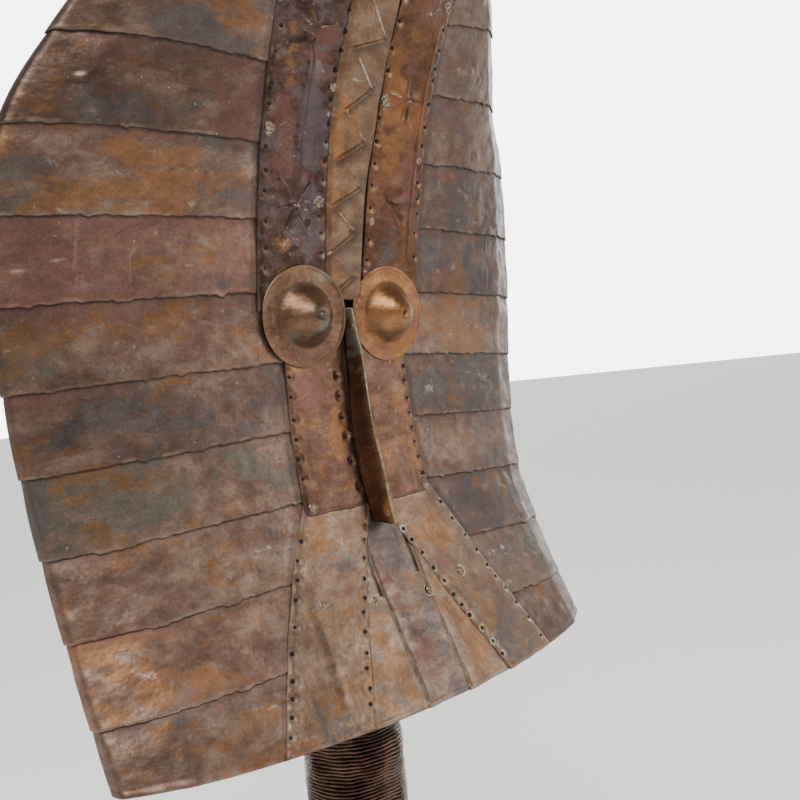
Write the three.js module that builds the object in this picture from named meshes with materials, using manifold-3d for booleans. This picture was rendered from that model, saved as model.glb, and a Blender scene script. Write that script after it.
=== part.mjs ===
// Kota reliquary figure: a carved wooden shield on a neck and an openwork stand, clad with
// overlapping copper sheets, bands and two embossed eye discs. Millimetres, +Z up, face towards -Y.
// The origin is the centre of the foot's underside, straight below the neck.

import * as THREE from 'three';
import Module from 'manifold-3d';
import { mergeVertices } from 'three/addons/utils/BufferGeometryUtils.js';

const wasm = await Module();
wasm.setup();

// Main sizes
const faceHeight = 385;
const faceHalfWidth = 149;
const neckLength = 91;
const neckRadius = 21;
const baseHeight = 120;
const chinReach = 60;          // front of the chin ahead of the neck's centre line

// Sheet metal and how it is laid
const sheet = 0.5;             // thickness of the beaten copper
const gap = 0.3;               // clearance between any two pieces
const lapGap = 0.4;            // clearance between two wing sheets where one laps the other
const wingPitch = 29.2;        // visible height of one wing sheet
const wingLap = 5;             // what the sheet above hides of the one below
const wingWrap = 12;           // how far the wing sheets turn in on the back
const centreSlit = 4.4;        // where the wing sheets stop short of the centre line
const chinHem = 1.2;           // how far the lowest sheets hang past the wood

// Wood
const rimThickness = 4;
const middleThickness = 14;
const keelHalfWidth = 27;
const neckOverlap = 12;        // how far the neck runs up inside the keel
const standOverlap = 4;        // how far the stand runs up inside the wire

// Bands
const upperBandHalfSpan = 49;
const cheekBandHalfSpan = 38.5;
const cheekBandTaper = 2;      // what the cheek bands lose in width towards the eyes
const chinBandHalfSpan = 84;
const bandTuck = 2.6;          // how far a covered piece runs under the band beside it
const bandLeast = 4;           // least width of a forehead band, up in the crown
const zigzagLeftWidth = 14.4;   // the zigzag strip's bare width left of the centre line
const zigzagRightWidth = 11.6;  // and right of it
const noseHalfWidth = 4.6;
const noseHeight = 9;
const noseDroop = 3.4;         // how much lower the ridge ends than the blade's sides
const fanHalfWidth = 45;
const fanSeam = 13;            // distance of the two seams of the chin fan from the centre line
const fanLap = 2.5;            // what each plate of the fan covers of the next

// Eyes
const eyeHalfSpacing = 25.9;
const eyeRadius = 21.6;
const eyeBossRadius = 13.6;
const eyeBossHeight = 13;

// Neck wrap and stand
const wireThickness = 1.9;
const standReach = 54;         // front of the stand ahead of the neck's centre line
const standLeg = 20;           // thickness of each leg, seen from the side
const standHalfWidth = 34;
const footWidth = 104;
const footDepth = 128;
const footThickness = 13;
const footCorner = 16;
const holeSill = 12;           // wood between the foot plate and the hole

// Heights above the chin edge, as shares of the face height
const eyeLevel = 0.427;
const upperBandFoot = 0.434;
const upperBandTop = 0.951;
const zigzagFoot = 0.444;
const zigzagTop = 0.996;
const cheekBandTop = 0.426;
const cheekBandFoot = 0.212;
const noseTop = 0.44;
const noseFoot = 0.197;
const wingTop = 0.984;

const chinZ = baseHeight + neckLength;

// A smooth curve through a few [place, value] knots, both given as shares
function curveThrough(knots, length, size) {
  const xs = knots.map((knot) => knot[0] * length);
  const ys = knots.map((knot) => knot[1] * size);
  const last = xs.length - 1;
  const slope = xs.map((x, i) => {
    const before = Math.max(i - 1, 0);
    const after = Math.min(i + 1, last);
    return (ys[after] - ys[before]) / (xs[after] - xs[before]);
  });
  return (x) => {
    let i = 0;
    while (i < last - 1 && x > xs[i + 1]) i += 1;
    const span = xs[i + 1] - xs[i];
    const t = (x - xs[i]) / span;
    const s = 1 - t;
    return ys[i] * s * s * (1 + 2 * t) + ys[i + 1] * t * t * (1 + 2 * s)
      + span * s * t * (slope[i] * s - slope[i + 1] * t);
  };
}

// The face: outline, profile of the centre line, how far the rim sweeps back, keel on the back
const widthKnots = [
  [0, 0.93], [0.2, 0.94], [0.42, 0.992], [0.53, 1], [0.62, 0.95],
  [0.7, 0.84], [0.8, 0.66], [0.9, 0.38], [1, 0.07],
];
const halfWidth = curveThrough(widthKnots, faceHeight, faceHalfWidth);
const hollowKnots = [
  [0, 0], [0.12, 0.053], [0.23, 0.087], [0.34, 0.096], [0.46, 0.088],
  [0.57, 0.066], [0.69, 0.026], [0.8, -0.028], [1, -0.125],
];
const hollow = curveThrough(hollowKnots, faceHeight, faceHeight);
const sweepKnots = [
  [0, 0.175], [0.4, 0.148], [0.57, 0.18], [0.7, 0.188], [0.82, 0.14], [0.92, 0.06], [1, 0.01],
];
const sweep = curveThrough(sweepKnots, faceHeight, faceHalfWidth);
const keelKnots = [[0, 0.98], [0.1, 0.62], [0.2, 0.4], [0.42, 0.24], [0.7, 0.16], [1, 0.03]];
const keel = curveThrough(keelKnots, faceHeight, chinReach);

const crease = 0.85;           // share of the half width where the rim's bevel starts
const creaseSweep = 0.57;      // share of the sweep reached there
const bowPower = 2.2;

function bow(share) {
  if (share < crease) return creaseSweep * (share / crease) ** bowPower;
  return creaseSweep + ((1 - creaseSweep) * (share - crease)) / (1 - crease);
}

function frontY(x, h) {
  return hollow(h) + sweep(h) * bow(Math.abs(x) / halfWidth(h)) - chinReach;
}

function backY(x, h) {
  const share = Math.min(Math.abs(x) / halfWidth(h), 1);
  const swollen = (middleThickness - rimThickness) * halfWidth(h) / faceHalfWidth;
  const board = rimThickness + swollen * (1 - share * share);
  const across = Math.min(Math.abs(x) / keelHalfWidth, 1);
  return frontY(x, h) + board + keel(h) * (1 - across * across) ** 2;
}

// The chin edge rises a little towards the corners
function chinEdge(x) {
  return 0.01 * faceHeight * (x / faceHalfWidth) ** 2;
}

const step = 0.5;
const slopeX = (surface, x, h) => (surface(x + step, h) - surface(x - step, h)) / (2 * step);
const slopeH = (surface, x, h) => (surface(x, h + step) - surface(x, h - step)) / (2 * step);

// A point at a distance in front of the wood, measured square to the surface but kept at its height
function overFront(x, h, offset) {
  const sx = slopeX(frontY, x, h);
  const sh = slopeH(frontY, x, h);
  const push = (offset * Math.hypot(1, sx, sh)) / (1 + sx * sx);
  return [x + sx * push, frontY(x, h) - push, chinZ + h];
}

function overBack(x, h, offset) {
  const sx = slopeX(backY, x, h);
  const sh = slopeH(backY, x, h);
  const push = (offset * Math.hypot(1, sx, sh)) / (1 + sx * sx);
  return [x - sx * push, backY(x, h) + push, chinZ + h];
}

// The two corners of the rim, where front, edge and back planes meet
function overRim(h, offset, atBack) {
  const edge = halfWidth(h);
  const slopeEdge = (halfWidth(h + step) - halfWidth(h - step)) / (2 * step);
  const push = offset * Math.hypot(1, slopeEdge);
  const inner = edge - 2 * step;
  const surface = atBack ? backY : frontY;
  const sx = slopeX(surface, inner, h);
  const length = Math.hypot(1, sx, slopeH(surface, inner, h));
  const out = atBack ? offset * length : -offset * length;
  return [edge + push, surface(edge, h) + sx * push + out, chinZ + h];
}

// Closed bodies from a grid of points
function closedGeometry(positions, index) {
  const geometry = new THREE.BufferGeometry();
  let volume = 0;
  const corner = (i) => new THREE.Vector3().fromArray(positions, 3 * i);
  for (let i = 0; i < index.length; i += 3) {
    const a = corner(index[i]);
    const b = corner(index[i + 1]);
    const c = corner(index[i + 2]);
    volume += a.dot(b.cross(c));
  }
  const facesOut = volume > 0 ? index : index.slice().reverse();
  geometry.setAttribute('position', new THREE.Float32BufferAttribute(positions, 3));
  geometry.setIndex(facesOut);
  return geometry;
}

// A slab between two layers: at(row share, column share, layer) gives each point
function slab(rows, columns, at) {
  const positions = [];
  const index = [];
  const layerSize = (rows + 1) * (columns + 1);
  const id = (layer, r, c) => layer * layerSize + r * (columns + 1) + c;
  for (const layer of [0, 1]) {
    for (let r = 0; r <= rows; r += 1) {
      for (let c = 0; c <= columns; c += 1) positions.push(...at(r / rows, c / columns, layer));
    }
  }
  const quad = (a, b, c, d) => index.push(a, b, c, a, c, d);
  for (let r = 0; r < rows; r += 1) {
    for (let c = 0; c < columns; c += 1) {
      quad(id(1, r, c), id(1, r, c + 1), id(1, r + 1, c + 1), id(1, r + 1, c));
      quad(id(0, r, c), id(0, r + 1, c), id(0, r + 1, c + 1), id(0, r, c + 1));
    }
    quad(id(0, r, 0), id(1, r, 0), id(1, r + 1, 0), id(0, r + 1, 0));
    quad(id(0, r, columns), id(0, r + 1, columns), id(1, r + 1, columns), id(1, r, columns));
  }
  for (let c = 0; c < columns; c += 1) {
    quad(id(0, 0, c), id(0, 0, c + 1), id(1, 0, c + 1), id(1, 0, c));
    quad(id(0, rows, c), id(1, rows, c), id(1, rows, c + 1), id(0, rows, c + 1));
  }
  return closedGeometry(positions, index);
}

function toManifold(geometry) {
  const bare = geometry.clone();
  bare.deleteAttribute('normal');
  bare.deleteAttribute('uv');
  const merged = mergeVertices(bare, 0.001);
  return new wasm.Manifold(new wasm.Mesh({
    numProp: 3,
    vertProperties: new Float32Array(merged.attributes.position.array),
    triVerts: new Uint32Array(merged.index.array),
  }));
}

function fromManifold(solid) {
  const mesh = solid.getMesh();
  const geometry = new THREE.BufferGeometry();
  geometry.setAttribute('position', new THREE.BufferAttribute(mesh.vertProperties, 3));
  geometry.setIndex(new THREE.BufferAttribute(mesh.triVerts, 1));
  return geometry;
}

const figure = new THREE.Group();

function addPiece(name, geometry, colour, roughness = 0.5, metalness = 1) {
  const material = new THREE.MeshStandardMaterial({ color: colour, roughness, metalness });
  const mesh = new THREE.Mesh(geometry, material);
  mesh.name = name;
  figure.add(mesh);
  return mesh;
}

// Layers above the wood: wing sheets, then what lies on them, then what laps over that.
// A wing sheet lies close at its upper edge and rises towards its lower one, over the next sheet.
const wingLift = ((sheet + lapGap) * (wingPitch + wingLap)) / wingPitch;
const layerOne = gap + wingLift + sheet + gap;
const layerTwo = layerOne + sheet + gap;
const layerThree = layerTwo + sheet + gap;

// Wooden shield
const faceRows = 27;
const columnShares = [0, 0.06, 0.12, 0.19, 0.36, 0.53, 0.7, crease, 1];
const acrossFace = [...columnShares.slice(1).reverse().map((share) => -share), ...columnShares];

function shieldGeometry() {
  const columns = acrossFace.length - 1;
  return slab(faceRows, columns, (r, c, layer) => {
    const share = acrossFace[Math.round(c * columns)];
    const low = chinEdge(share * halfWidth(0));
    const h = low + (faceHeight - low) * r;
    const x = share * halfWidth(h);
    return [x, layer ? frontY(x, h) : backY(x, h), chinZ + h];
  });
}

// Seen from the side the stand is a pointed loop; seen from the front it widens and draws in again
const sideways = new THREE.Matrix4().makeBasis(
  new THREE.Vector3(0, 1, 0),
  new THREE.Vector3(0, 0, 1),
  new THREE.Vector3(1, 0, 0),
);
const frontways = new THREE.Matrix4().makeBasis(
  new THREE.Vector3(1, 0, 0),
  new THREE.Vector3(0, 0, 1),
  new THREE.Vector3(0, -1, 0),
);
const loopTop = baseHeight + standOverlap;
const loopMiddle = baseHeight * 0.54;
const loopFootReach = 30;
const curveSteps = 7;

const rooting = 1;             // how deep the pieces of wood run into each other

function loopOutline(grow) {
  const outline = new THREE.Shape();
  const reach = standReach + grow;
  const neck = neckRadius + grow;
  const foot = loopFootReach + grow;
  const shoulder = baseHeight * 0.9;
  const ankle = baseHeight * 0.3;
  const bend = baseHeight * 0.13;
  outline.moveTo(-neck, loopTop);
  outline.bezierCurveTo(-neck, shoulder, -reach, loopMiddle + bend, -reach, loopMiddle);
  outline.bezierCurveTo(-reach, loopMiddle - bend, -foot, ankle, -foot, footThickness - rooting);
  outline.lineTo(foot, footThickness - rooting);
  outline.bezierCurveTo(foot, ankle, reach, loopMiddle - bend, reach, loopMiddle);
  outline.bezierCurveTo(reach, loopMiddle + bend, neck, shoulder, neck, loopTop);
  outline.closePath();
  return outline;
}

const holeReach = standReach - standLeg;
const holeTop = baseHeight * 0.85;
const holeFoot = footThickness + holeSill;
const pointing = 5;            // how far the hole's flanks bow out, above and below its middle

function loopHole() {
  const hole = new THREE.Path();
  const side = 0.86 * holeReach;
  const high = (holeTop + loopMiddle) / 2 + pointing;
  const low = (holeFoot + loopMiddle) / 2 - pointing;
  hole.moveTo(0, holeTop);
  hole.quadraticCurveTo(side, high, holeReach, loopMiddle);
  hole.quadraticCurveTo(side, low, 0, holeFoot);
  hole.quadraticCurveTo(-side, low, -holeReach, loopMiddle);
  hole.quadraticCurveTo(-side, high, 0, holeTop);
  return hole;
}

function standFront(grow) {
  const shape = new THREE.Shape();
  const top = neckRadius - rooting + grow;
  const wide = standHalfWidth + grow;
  const low = standHalfWidth * 0.82 + grow;
  const over = loopTop + rooting;
  shape.moveTo(-top, over);
  shape.bezierCurveTo(-top, baseHeight * 0.9, -wide, baseHeight * 0.8, -wide, baseHeight * 0.5);
  shape.bezierCurveTo(-wide, baseHeight * 0.3, -low, baseHeight * 0.25, -low, 0);
  shape.lineTo(low, 0);
  shape.bezierCurveTo(low, baseHeight * 0.25, wide, baseHeight * 0.3, wide, baseHeight * 0.5);
  shape.bezierCurveTo(wide, baseHeight * 0.8, top, baseHeight * 0.9, top, over);
  shape.closePath();
  return shape;
}

function extrude(shape, matrix, depth, steps = curveSteps) {
  const geometry = new THREE.ExtrudeGeometry(shape, { depth, bevelEnabled: false, curveSegments: steps });
  geometry.translate(0, 0, -depth / 2);
  geometry.applyMatrix4(matrix);
  return geometry;
}

function footGeometry() {
  const x = footWidth / 2;
  const y = footDepth / 2;
  const shape = new THREE.Shape();
  shape.moveTo(-x + footCorner, -y);
  shape.lineTo(x - footCorner, -y);
  shape.absarc(x - footCorner, -y + footCorner, footCorner, -Math.PI / 2, 0);
  shape.absarc(x - footCorner, y - footCorner, footCorner, 0, Math.PI / 2);
  shape.absarc(-x + footCorner, y - footCorner, footCorner, Math.PI / 2, Math.PI);
  shape.absarc(-x + footCorner, -y + footCorner, footCorner, Math.PI, 1.5 * Math.PI);
  return new THREE.ExtrudeGeometry(shape, { depth: footThickness, bevelEnabled: false, curveSegments: 5 });
}

function neckGeometry() {
  const length = chinZ + neckOverlap - holeTop - rooting;
  const geometry = new THREE.CylinderGeometry(neckRadius, neckRadius, length, 28);
  geometry.rotateX(Math.PI / 2);
  geometry.translate(0, 0, chinZ + neckOverlap - length / 2);
  return geometry;
}

function carvedWood() {
  const loop = loopOutline(0);
  loop.holes.push(loopHole());
  const wide = 3 * footWidth;
  const legs = toManifold(extrude(loop, sideways, wide))
    .intersect(toManifold(extrude(standFront(0), frontways, wide)));
  const solid = toManifold(shieldGeometry())
    .add(toManifold(neckGeometry()))
    .add(legs)
    .add(toManifold(footGeometry()));
  return fromManifold(solid);
}

addPiece('carved_wood_core', carvedWood(), 0x3a2a1e, 0.8, 0);

// Wing sheets, laid like shingles from the crown down and turned round the rim
const stations = [0, 0.19, 0.36, 0.53, 0.7, crease, 1];
const rimStations = 2;

function wingPoint(side, station, h, offset) {
  let point;
  if (station === stations.length) {
    point = overRim(h, offset, true);
  } else if (station > stations.length) {
    point = overBack(Math.max(halfWidth(h) - wingWrap, 0.3 * halfWidth(h)), h, offset);
  } else if (stations[station] === 1) {
    point = overRim(h, offset, false);
  } else {
    const edge = halfWidth(h);
    const share = stations[station];
    const slit = share < crease ? centreSlit * (1 - share / crease) : 0;
    point = overFront(slit + share * edge, h, offset);
  }
  return [side * point[0], point[1], point[2]];
}

function stationX(station, h) {
  return Math.min(stations[Math.min(station, stations.length - 1)], 1) * halfWidth(h);
}

// Seams droop towards the rim low down and climb towards it near the crown
function seamHeight(level, x) {
  const tilt = 0.145 * (level / (0.69 * faceHeight)) ** 3 - 0.055;
  return level + tilt * (x - faceHalfWidth / 3);
}

function wingSheets(side, label, firstSeam, colours) {
  const count = Math.round((wingTop * faceHeight - firstSeam) / wingPitch) + 1;
  for (let i = 0; i < count; i += 1) {
    const lowLevel = firstSeam + (i - 1) * wingPitch;
    const highLevel = firstSeam + i * wingPitch;
    const topmost = i === count - 1;
    const edgeHeight = (level, x) => (level < 0 ? chinEdge(x) - chinHem : seamHeight(level, x));
    const columns = stations.length - 1 + rimStations;
    const low = (x) => edgeHeight(i === 0 ? -1 : lowLevel, x);
    const high = (x) => (topmost ? wingTop * faceHeight : edgeHeight(highLevel, x) + wingLap);
    const geometry = slab(3, columns, (r, c, layer) => {
      const station = Math.round(c * columns);
      let h = (lowLevel + highLevel) / 2;
      for (let pass = 0; pass < 4; pass += 1) {
        const x = stationX(station, Math.min(h, wingTop * faceHeight));
        h = low(x) + (Math.min(high(x), wingTop * faceHeight) - low(x)) * r;
      }
      const offset = gap + wingLift * (1 - r) + layer * sheet;
      return wingPoint(side, station, h, offset);
    });
    const number = String(i + 1).padStart(2, '0');
    addPiece(`${label}_wing_sheet_${number}`, geometry, colours[i % colours.length]);
  }
}

wingSheets(-1, 'left', 0.99 * wingPitch, [0x6e4a35, 0x7a5238, 0x6a4a3a, 0x5e4c42, 0x6b4636]);
wingSheets(1, 'right', 0.965 * wingPitch, [0x63463a, 0x5c443a, 0x6b4a38, 0x5a4640]);

// Bands and plates that lie on the wing sheets; spread moves the inner columns of the grid
function plate(rows, columns, low, high, left, right, lift, spread = (c) => c) {
  return slab(rows, columns, (r, c, layer) => {
    const across = (h) => {
      const width = right(h) - left(h);
      return left(h) + width * spread(c, width);
    };
    let h = low + (high - low) * r;
    if (low === 0) h += (chinEdge(across(h)) - chinHem) * (1 - r);
    return overFront(across(Math.max(h, 0)), h, lift(r, c) + layer * sheet);
  });
}

const mirrored = (side, low, high) => (side > 0 ? [low, high] : [(h) => -high(h), (h) => -low(h)]);
const outward = (side, c) => (side > 0 ? c : 1 - c);
const blend = (from, to, share) => from + (to - from) * share;

const crownLimit = (h) => (crease - 0.02) * halfWidth(h);
const upperOuter = (h) => Math.min(upperBandHalfSpan, crownLimit(h));
const zigzagWidth = (side) => (side > 0 ? zigzagRightWidth : zigzagLeftWidth);
const upperInner = (side) => (h) => Math.min(zigzagWidth(side), crownLimit(h) - bandLeast);
const zigzagEdge = (side) => (h) => side * Math.min(zigzagWidth(side) + bandTuck, crownLimit(h));

for (const [side, label] of [[-1, 'left'], [1, 'right']]) {
  const [left, right] = mirrored(side, upperInner(side), upperOuter);
  const low = upperBandFoot * faceHeight;
  const high = upperBandTop * faceHeight;
  const lift = (r, c) => blend(layerTwo, layerOne, outward(side, c));
  const geometry = plate(17, 3, low, high, left, right, lift);
  addPiece(`${label}_forehead_band`, geometry, side > 0 ? 0x7a4d30 : 0x594340);
}

const zigzagLow = zigzagFoot * faceHeight;
const zigzagHigh = zigzagTop * faceHeight;
const zigzagPlate = plate(18, 2, zigzagLow, zigzagHigh, zigzagEdge(-1), zigzagEdge(1), () => layerOne);
addPiece('zigzag_strip', zigzagPlate, 0x8a6034);

const underNose = 0.55 * noseHalfWidth;
const cheekInner = () => underNose;
const cheekOuter = (h) => {
  const climbed = (h / faceHeight - cheekBandFoot) / (cheekBandTop - cheekBandFoot);
  return cheekBandHalfSpan - cheekBandTaper * climbed;
};
for (const [side, label] of [[-1, 'left'], [1, 'right']]) {
  const [left, right] = mirrored(side, cheekInner, cheekOuter);
  const low = cheekBandFoot * faceHeight;
  const high = cheekBandTop * faceHeight;
  const lift = (r, c) => blend(blend(layerThree, layerTwo, outward(side, c)), layerOne, Math.min(3 * r, 1));
  const geometry = plate(8, 3, low, high, left, right, lift);
  addPiece(`${label}_cheek_band`, geometry, 0x7b4a37);
}

// Chin bands flare from the cheek bands' feet to the chin edge
const chinBandTop = cheekBandFoot * faceHeight + wingLap;
const flare = (h) => Math.min(1 - h / chinBandTop, 1);
const chinOuter = (h) => blend(cheekBandHalfSpan, chinBandHalfSpan, flare(h) ** 0.92);
const chinInner = (h) => blend(underNose, fanHalfWidth, Math.max(flare(h) - 0.04, 0));
for (const [side, label] of [[-1, 'left'], [1, 'right']]) {
  const [left, right] = mirrored(side, chinInner, chinOuter);
  const lift = (r, c) => blend(layerTwo, layerOne, outward(side, c));
  const geometry = plate(8, 4, 0, chinBandTop, left, right, lift);
  addPiece(`${label}_chin_band`, geometry, side > 0 ? 0x5d4a42 : 0x6d4d3e);
}

// Chin fan: three plates between the chin bands, each lapping over the one to its left
const fanEdge = (h) => chinInner(h) + bandTuck;
const fanTop = chinBandTop * 0.93;
const fanSideTop = chinBandTop * 0.65;
const fanLapTop = chinBandTop * 0.565;
const fanLapEnd = chinBandTop * 0.7;
const fanColumns = 4;
const lapShare = (h) => Math.min(Math.max((fanLapEnd - h) / (fanLapEnd - fanLapTop), 0), 1);
const fanLift = (top) => (r, c) => (
  c * fanColumns < 1.5 ? blend(layerOne, layerTwo, lapShare(r * top)) : layerOne
);
const fanSpread = (c, width) => {
  const first = Math.min((fanLap + 3 * gap) / width, 0.5);
  const beyond = (c * fanColumns - 1) / (fanColumns - 1);
  return c === 0 ? 0 : first + (1 - first) * beyond;
};
const underLap = (h) => (h > 0.9 * fanLapTop ? fanSeam + gap : fanSeam - fanLap);
addPiece('chin_fan_left', plate(
  6,
  3,
  0,
  fanSideTop,
  (h) => -fanEdge(h),
  (h) => -underLap(h),
  () => layerOne,
), 0x8a6038);
addPiece('chin_fan_middle', plate(
  8,
  fanColumns,
  0,
  fanTop,
  (h) => -Math.min(fanSeam, fanEdge(h)),
  (h) => Math.min(fanSeam + (h > fanLapTop ? -gap : fanLap), fanEdge(h)),
  fanLift(fanTop),
  fanSpread,
), 0x6f5c4a);
addPiece('chin_fan_right', plate(
  6,
  fanColumns,
  0,
  fanSideTop,
  () => fanSeam,
  fanEdge,
  fanLift(fanSideTop),
  fanSpread,
), 0x8b5a34);

// Nose: a sheet folded to a narrow blade that grows towards its foot
function noseGeometry() {
  const low = noseFoot * faceHeight;
  const high = noseTop * faceHeight;
  return slab(8, 3, (r, c, layer) => {
    const grown = Math.sqrt(1 - 0.93 * r);
    const half = noseHalfWidth * (0.35 + 0.65 * grown);
    const ridge = [1, 0.28, -0.28, -1][Math.round(3 * c)];
    const raised = layer === 1 && Math.abs(ridge) < 1;
    const h = low + (high - low) * r - (raised ? noseDroop * (1 - r) ** 4 : 0);
    const base = blend(layerThree + sheet + gap, layerTwo, Math.min(Math.max((r - 0.1) / 0.35, 0), 1));
    if (layer === 0) return overFront(ridge * half, h, base);
    return overFront(ridge * half, h, base + (raised ? noseHeight * grown : 0.6));
  });
}

addPiece('nose_blade', noseGeometry(), 0x5a3a28);

// Eye discs: beaten plates with a hollow cone of a boss
function eyeGeometry() {
  const dome = (radius, height) => {
    const points = [];
    const turns = 5;
    for (let i = 0; i <= turns; i += 1) {
      const share = i / turns;
      const rise = Math.cos((share * Math.PI) / 2) ** 0.8;
      points.push([radius * share, height * (0.62 * rise + 0.38 * (1 - share))]);
    }
    return points;
  };
  const outer = dome(eyeBossRadius, eyeBossHeight).map(([x, y]) => new THREE.Vector2(x, y + sheet));
  const inner = dome(eyeBossRadius - sheet, eyeBossHeight).map(([x, y]) => new THREE.Vector2(x, y));
  const profile = [
    ...inner,
    new THREE.Vector2(eyeRadius, 0),
    new THREE.Vector2(eyeRadius, sheet),
    ...outer.reverse(),
  ];
  profile[0].x = 0;
  profile[profile.length - 1].x = 0;
  return new THREE.LatheGeometry(profile, 22);
}

const eyeH = eyeLevel * faceHeight;
const eyeSag = 0.85;
for (const [side, label] of [[-1, 'left'], [1, 'right']]) {
  const x = side * eyeHalfSpacing;
  const normal = new THREE.Vector3(slopeX(frontY, x, eyeH), -1, slopeH(frontY, x, eyeH)).normalize();
  const centre = new THREE.Vector3(...overFront(x, eyeH, layerTwo + sheet + gap + eyeSag));
  const eye = addPiece(`${label}_eye_disc`, eyeGeometry(), side > 0 ? 0x9a6634 : 0x6e4f3c);
  eye.quaternion.setFromUnitVectors(new THREE.Vector3(0, 1, 0), normal);
  eye.position.copy(centre);
}

// Neck: one length of wire wound close from the stand to the chin
function neckWrapGeometry() {
  const inside = neckRadius + gap;
  const outside = inside + wireThickness;
  const low = loopTop + gap;
  const high = chinZ - chinHem - gap;
  const profile = [
    new THREE.Vector2(inside, low),
    new THREE.Vector2(outside, low),
    new THREE.Vector2(outside, high),
    new THREE.Vector2(inside, high),
    new THREE.Vector2(inside, low),
  ];
  const geometry = new THREE.LatheGeometry(profile, 32);
  geometry.rotateX(Math.PI / 2);
  return geometry;
}

addPiece('neck_wire_wrap', neckWrapGeometry(), 0x33261f, 0.5);

// Stand: one sheet down the front leg and one down the back leg
function legSheet(side) {
  const wide = 3 * footWidth;
  const ring = toManifold(extrude(loopOutline(gap + sheet), sideways, wide))
    .subtract(toManifold(extrude(loopOutline(gap), sideways, 2 * wide)));
  const low = footThickness + gap;
  const window = new THREE.BoxGeometry(footWidth, footDepth, baseHeight - low);
  window.translate(0, side * (footDepth / 2 + gap), (baseHeight + low) / 2);
  return fromManifold(ring
    .intersect(toManifold(extrude(standFront(sheet), frontways, wide)))
    .intersect(toManifold(window)));
}

addPiece('front_leg_sheet', legSheet(-1), 0x7b6a5a);
addPiece('back_leg_sheet', legSheet(1), 0x6c5c50);

export default figure;
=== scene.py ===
# A guardian figure of the Kota: a tall hollowed wooden shield clad in lapped copper sheets,
# nailed bands, boss eyes and a blade nose, on a wire-wound neck and an openwork stand.
import math

import bmesh
import bpy
import numpy as np
from mathutils import Matrix, Vector


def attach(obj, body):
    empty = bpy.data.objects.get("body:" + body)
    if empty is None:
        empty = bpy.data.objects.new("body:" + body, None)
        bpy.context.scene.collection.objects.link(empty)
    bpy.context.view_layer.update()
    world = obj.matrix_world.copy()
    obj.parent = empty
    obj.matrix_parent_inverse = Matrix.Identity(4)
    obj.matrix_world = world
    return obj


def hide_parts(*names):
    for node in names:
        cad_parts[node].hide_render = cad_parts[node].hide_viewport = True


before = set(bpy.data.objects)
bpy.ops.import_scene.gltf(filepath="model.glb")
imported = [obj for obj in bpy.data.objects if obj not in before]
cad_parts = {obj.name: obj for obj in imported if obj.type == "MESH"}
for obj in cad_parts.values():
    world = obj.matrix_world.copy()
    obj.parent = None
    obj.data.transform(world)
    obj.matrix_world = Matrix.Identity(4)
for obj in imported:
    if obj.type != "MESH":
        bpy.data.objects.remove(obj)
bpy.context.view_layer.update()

# Sizes are in millimetres and become metres where a mesh is made
MM = 0.001

# Main sizes, as in the solid model
FACE_HEIGHT = 385
FACE_HALF_WIDTH = 149
NECK_LENGTH = 91
NECK_RADIUS = 21
BASE_HEIGHT = 120
CHIN_REACH = 60
CHIN_Z = BASE_HEIGHT + NECK_LENGTH

# Sheet metal and how it is laid
SHEET = 0.5
GAP = 0.3
LAP_GAP = 0.4
WING_PITCH = 29.2
WING_LAP = 5
WING_WRAP = 12
WING_COUNT = 13
WING_TOP = 0.984 * FACE_HEIGHT
CENTRE_SLIT = 4.4
CHIN_HEM = 1.2
WING_LIFT = (SHEET + LAP_GAP) * (WING_PITCH + WING_LAP) / WING_PITCH
LAYER_ONE = GAP + WING_LIFT + SHEET + GAP
LAYER_TWO = LAYER_ONE + SHEET + GAP
LAYER_THREE = LAYER_TWO + SHEET + GAP
FIRST_SEAM = {"left": 0.99 * WING_PITCH, "right": 0.965 * WING_PITCH}

# Wood
RIM_THICKNESS = 4
MIDDLE_THICKNESS = 14
KEEL_HALF_WIDTH = 27

# Bands, nose and fan
FOREHEAD_FOOT = 0.434 * FACE_HEIGHT
FOREHEAD_TOP = 0.951 * FACE_HEIGHT
FOREHEAD_SPAN = 49
ZIGZAG_FOOT = 0.444 * FACE_HEIGHT
ZIGZAG_TOP = 0.996 * FACE_HEIGHT
BAND_TUCK = 2.6
BAND_LEAST = 4
CHEEK_FOOT = 0.212 * FACE_HEIGHT
CHEEK_TOP = 0.426 * FACE_HEIGHT
CHEEK_SPAN = 38.5
CHEEK_TAPER = 2
CHIN_SPAN = 84
CHIN_BAND_TOP = CHEEK_FOOT + WING_LAP
NOSE_FOOT = 0.197 * FACE_HEIGHT
NOSE_TOP = 0.44 * FACE_HEIGHT
NOSE_HALF_WIDTH = 4.6
NOSE_HEIGHT = 9
NOSE_DROOP = 3.4
NOSE_SHEET = 0.42
UNDER_NOSE = 0.55 * NOSE_HALF_WIDTH
FAN_HALF_WIDTH = 45
FAN_SEAM = 13
FAN_LAP = 2.5

# Eyes
EYE_LEVEL = 0.427 * FACE_HEIGHT
EYE_RADIUS = 21.6
BOSS_RADIUS = 13.6
BOSS_HEIGHT = 13
EYE_CENTRES = {"left": -26.4, "right": 24.2}
EYE_TURN = math.radians(4)

# Neck wire and stand
WIRE_RADIUS = 0.8
WIRE_PITCH = 1.6
WIRE_SLANT = 3.6
WIRE_UNEVENNESS = 0.45
LOOP_TOP = BASE_HEIGHT + 4
STAND_REACH = 54
STAND_HALF_WIDTH = 34
STAND_FOOT_REACH = 30
FOOT_THICKNESS = 13
LEG_NAIL = 0.06

SIDES = {"left": -1, "right": 1}


# The face as formulas: outline, centre line, sweep of the rim, keel on the back

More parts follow.
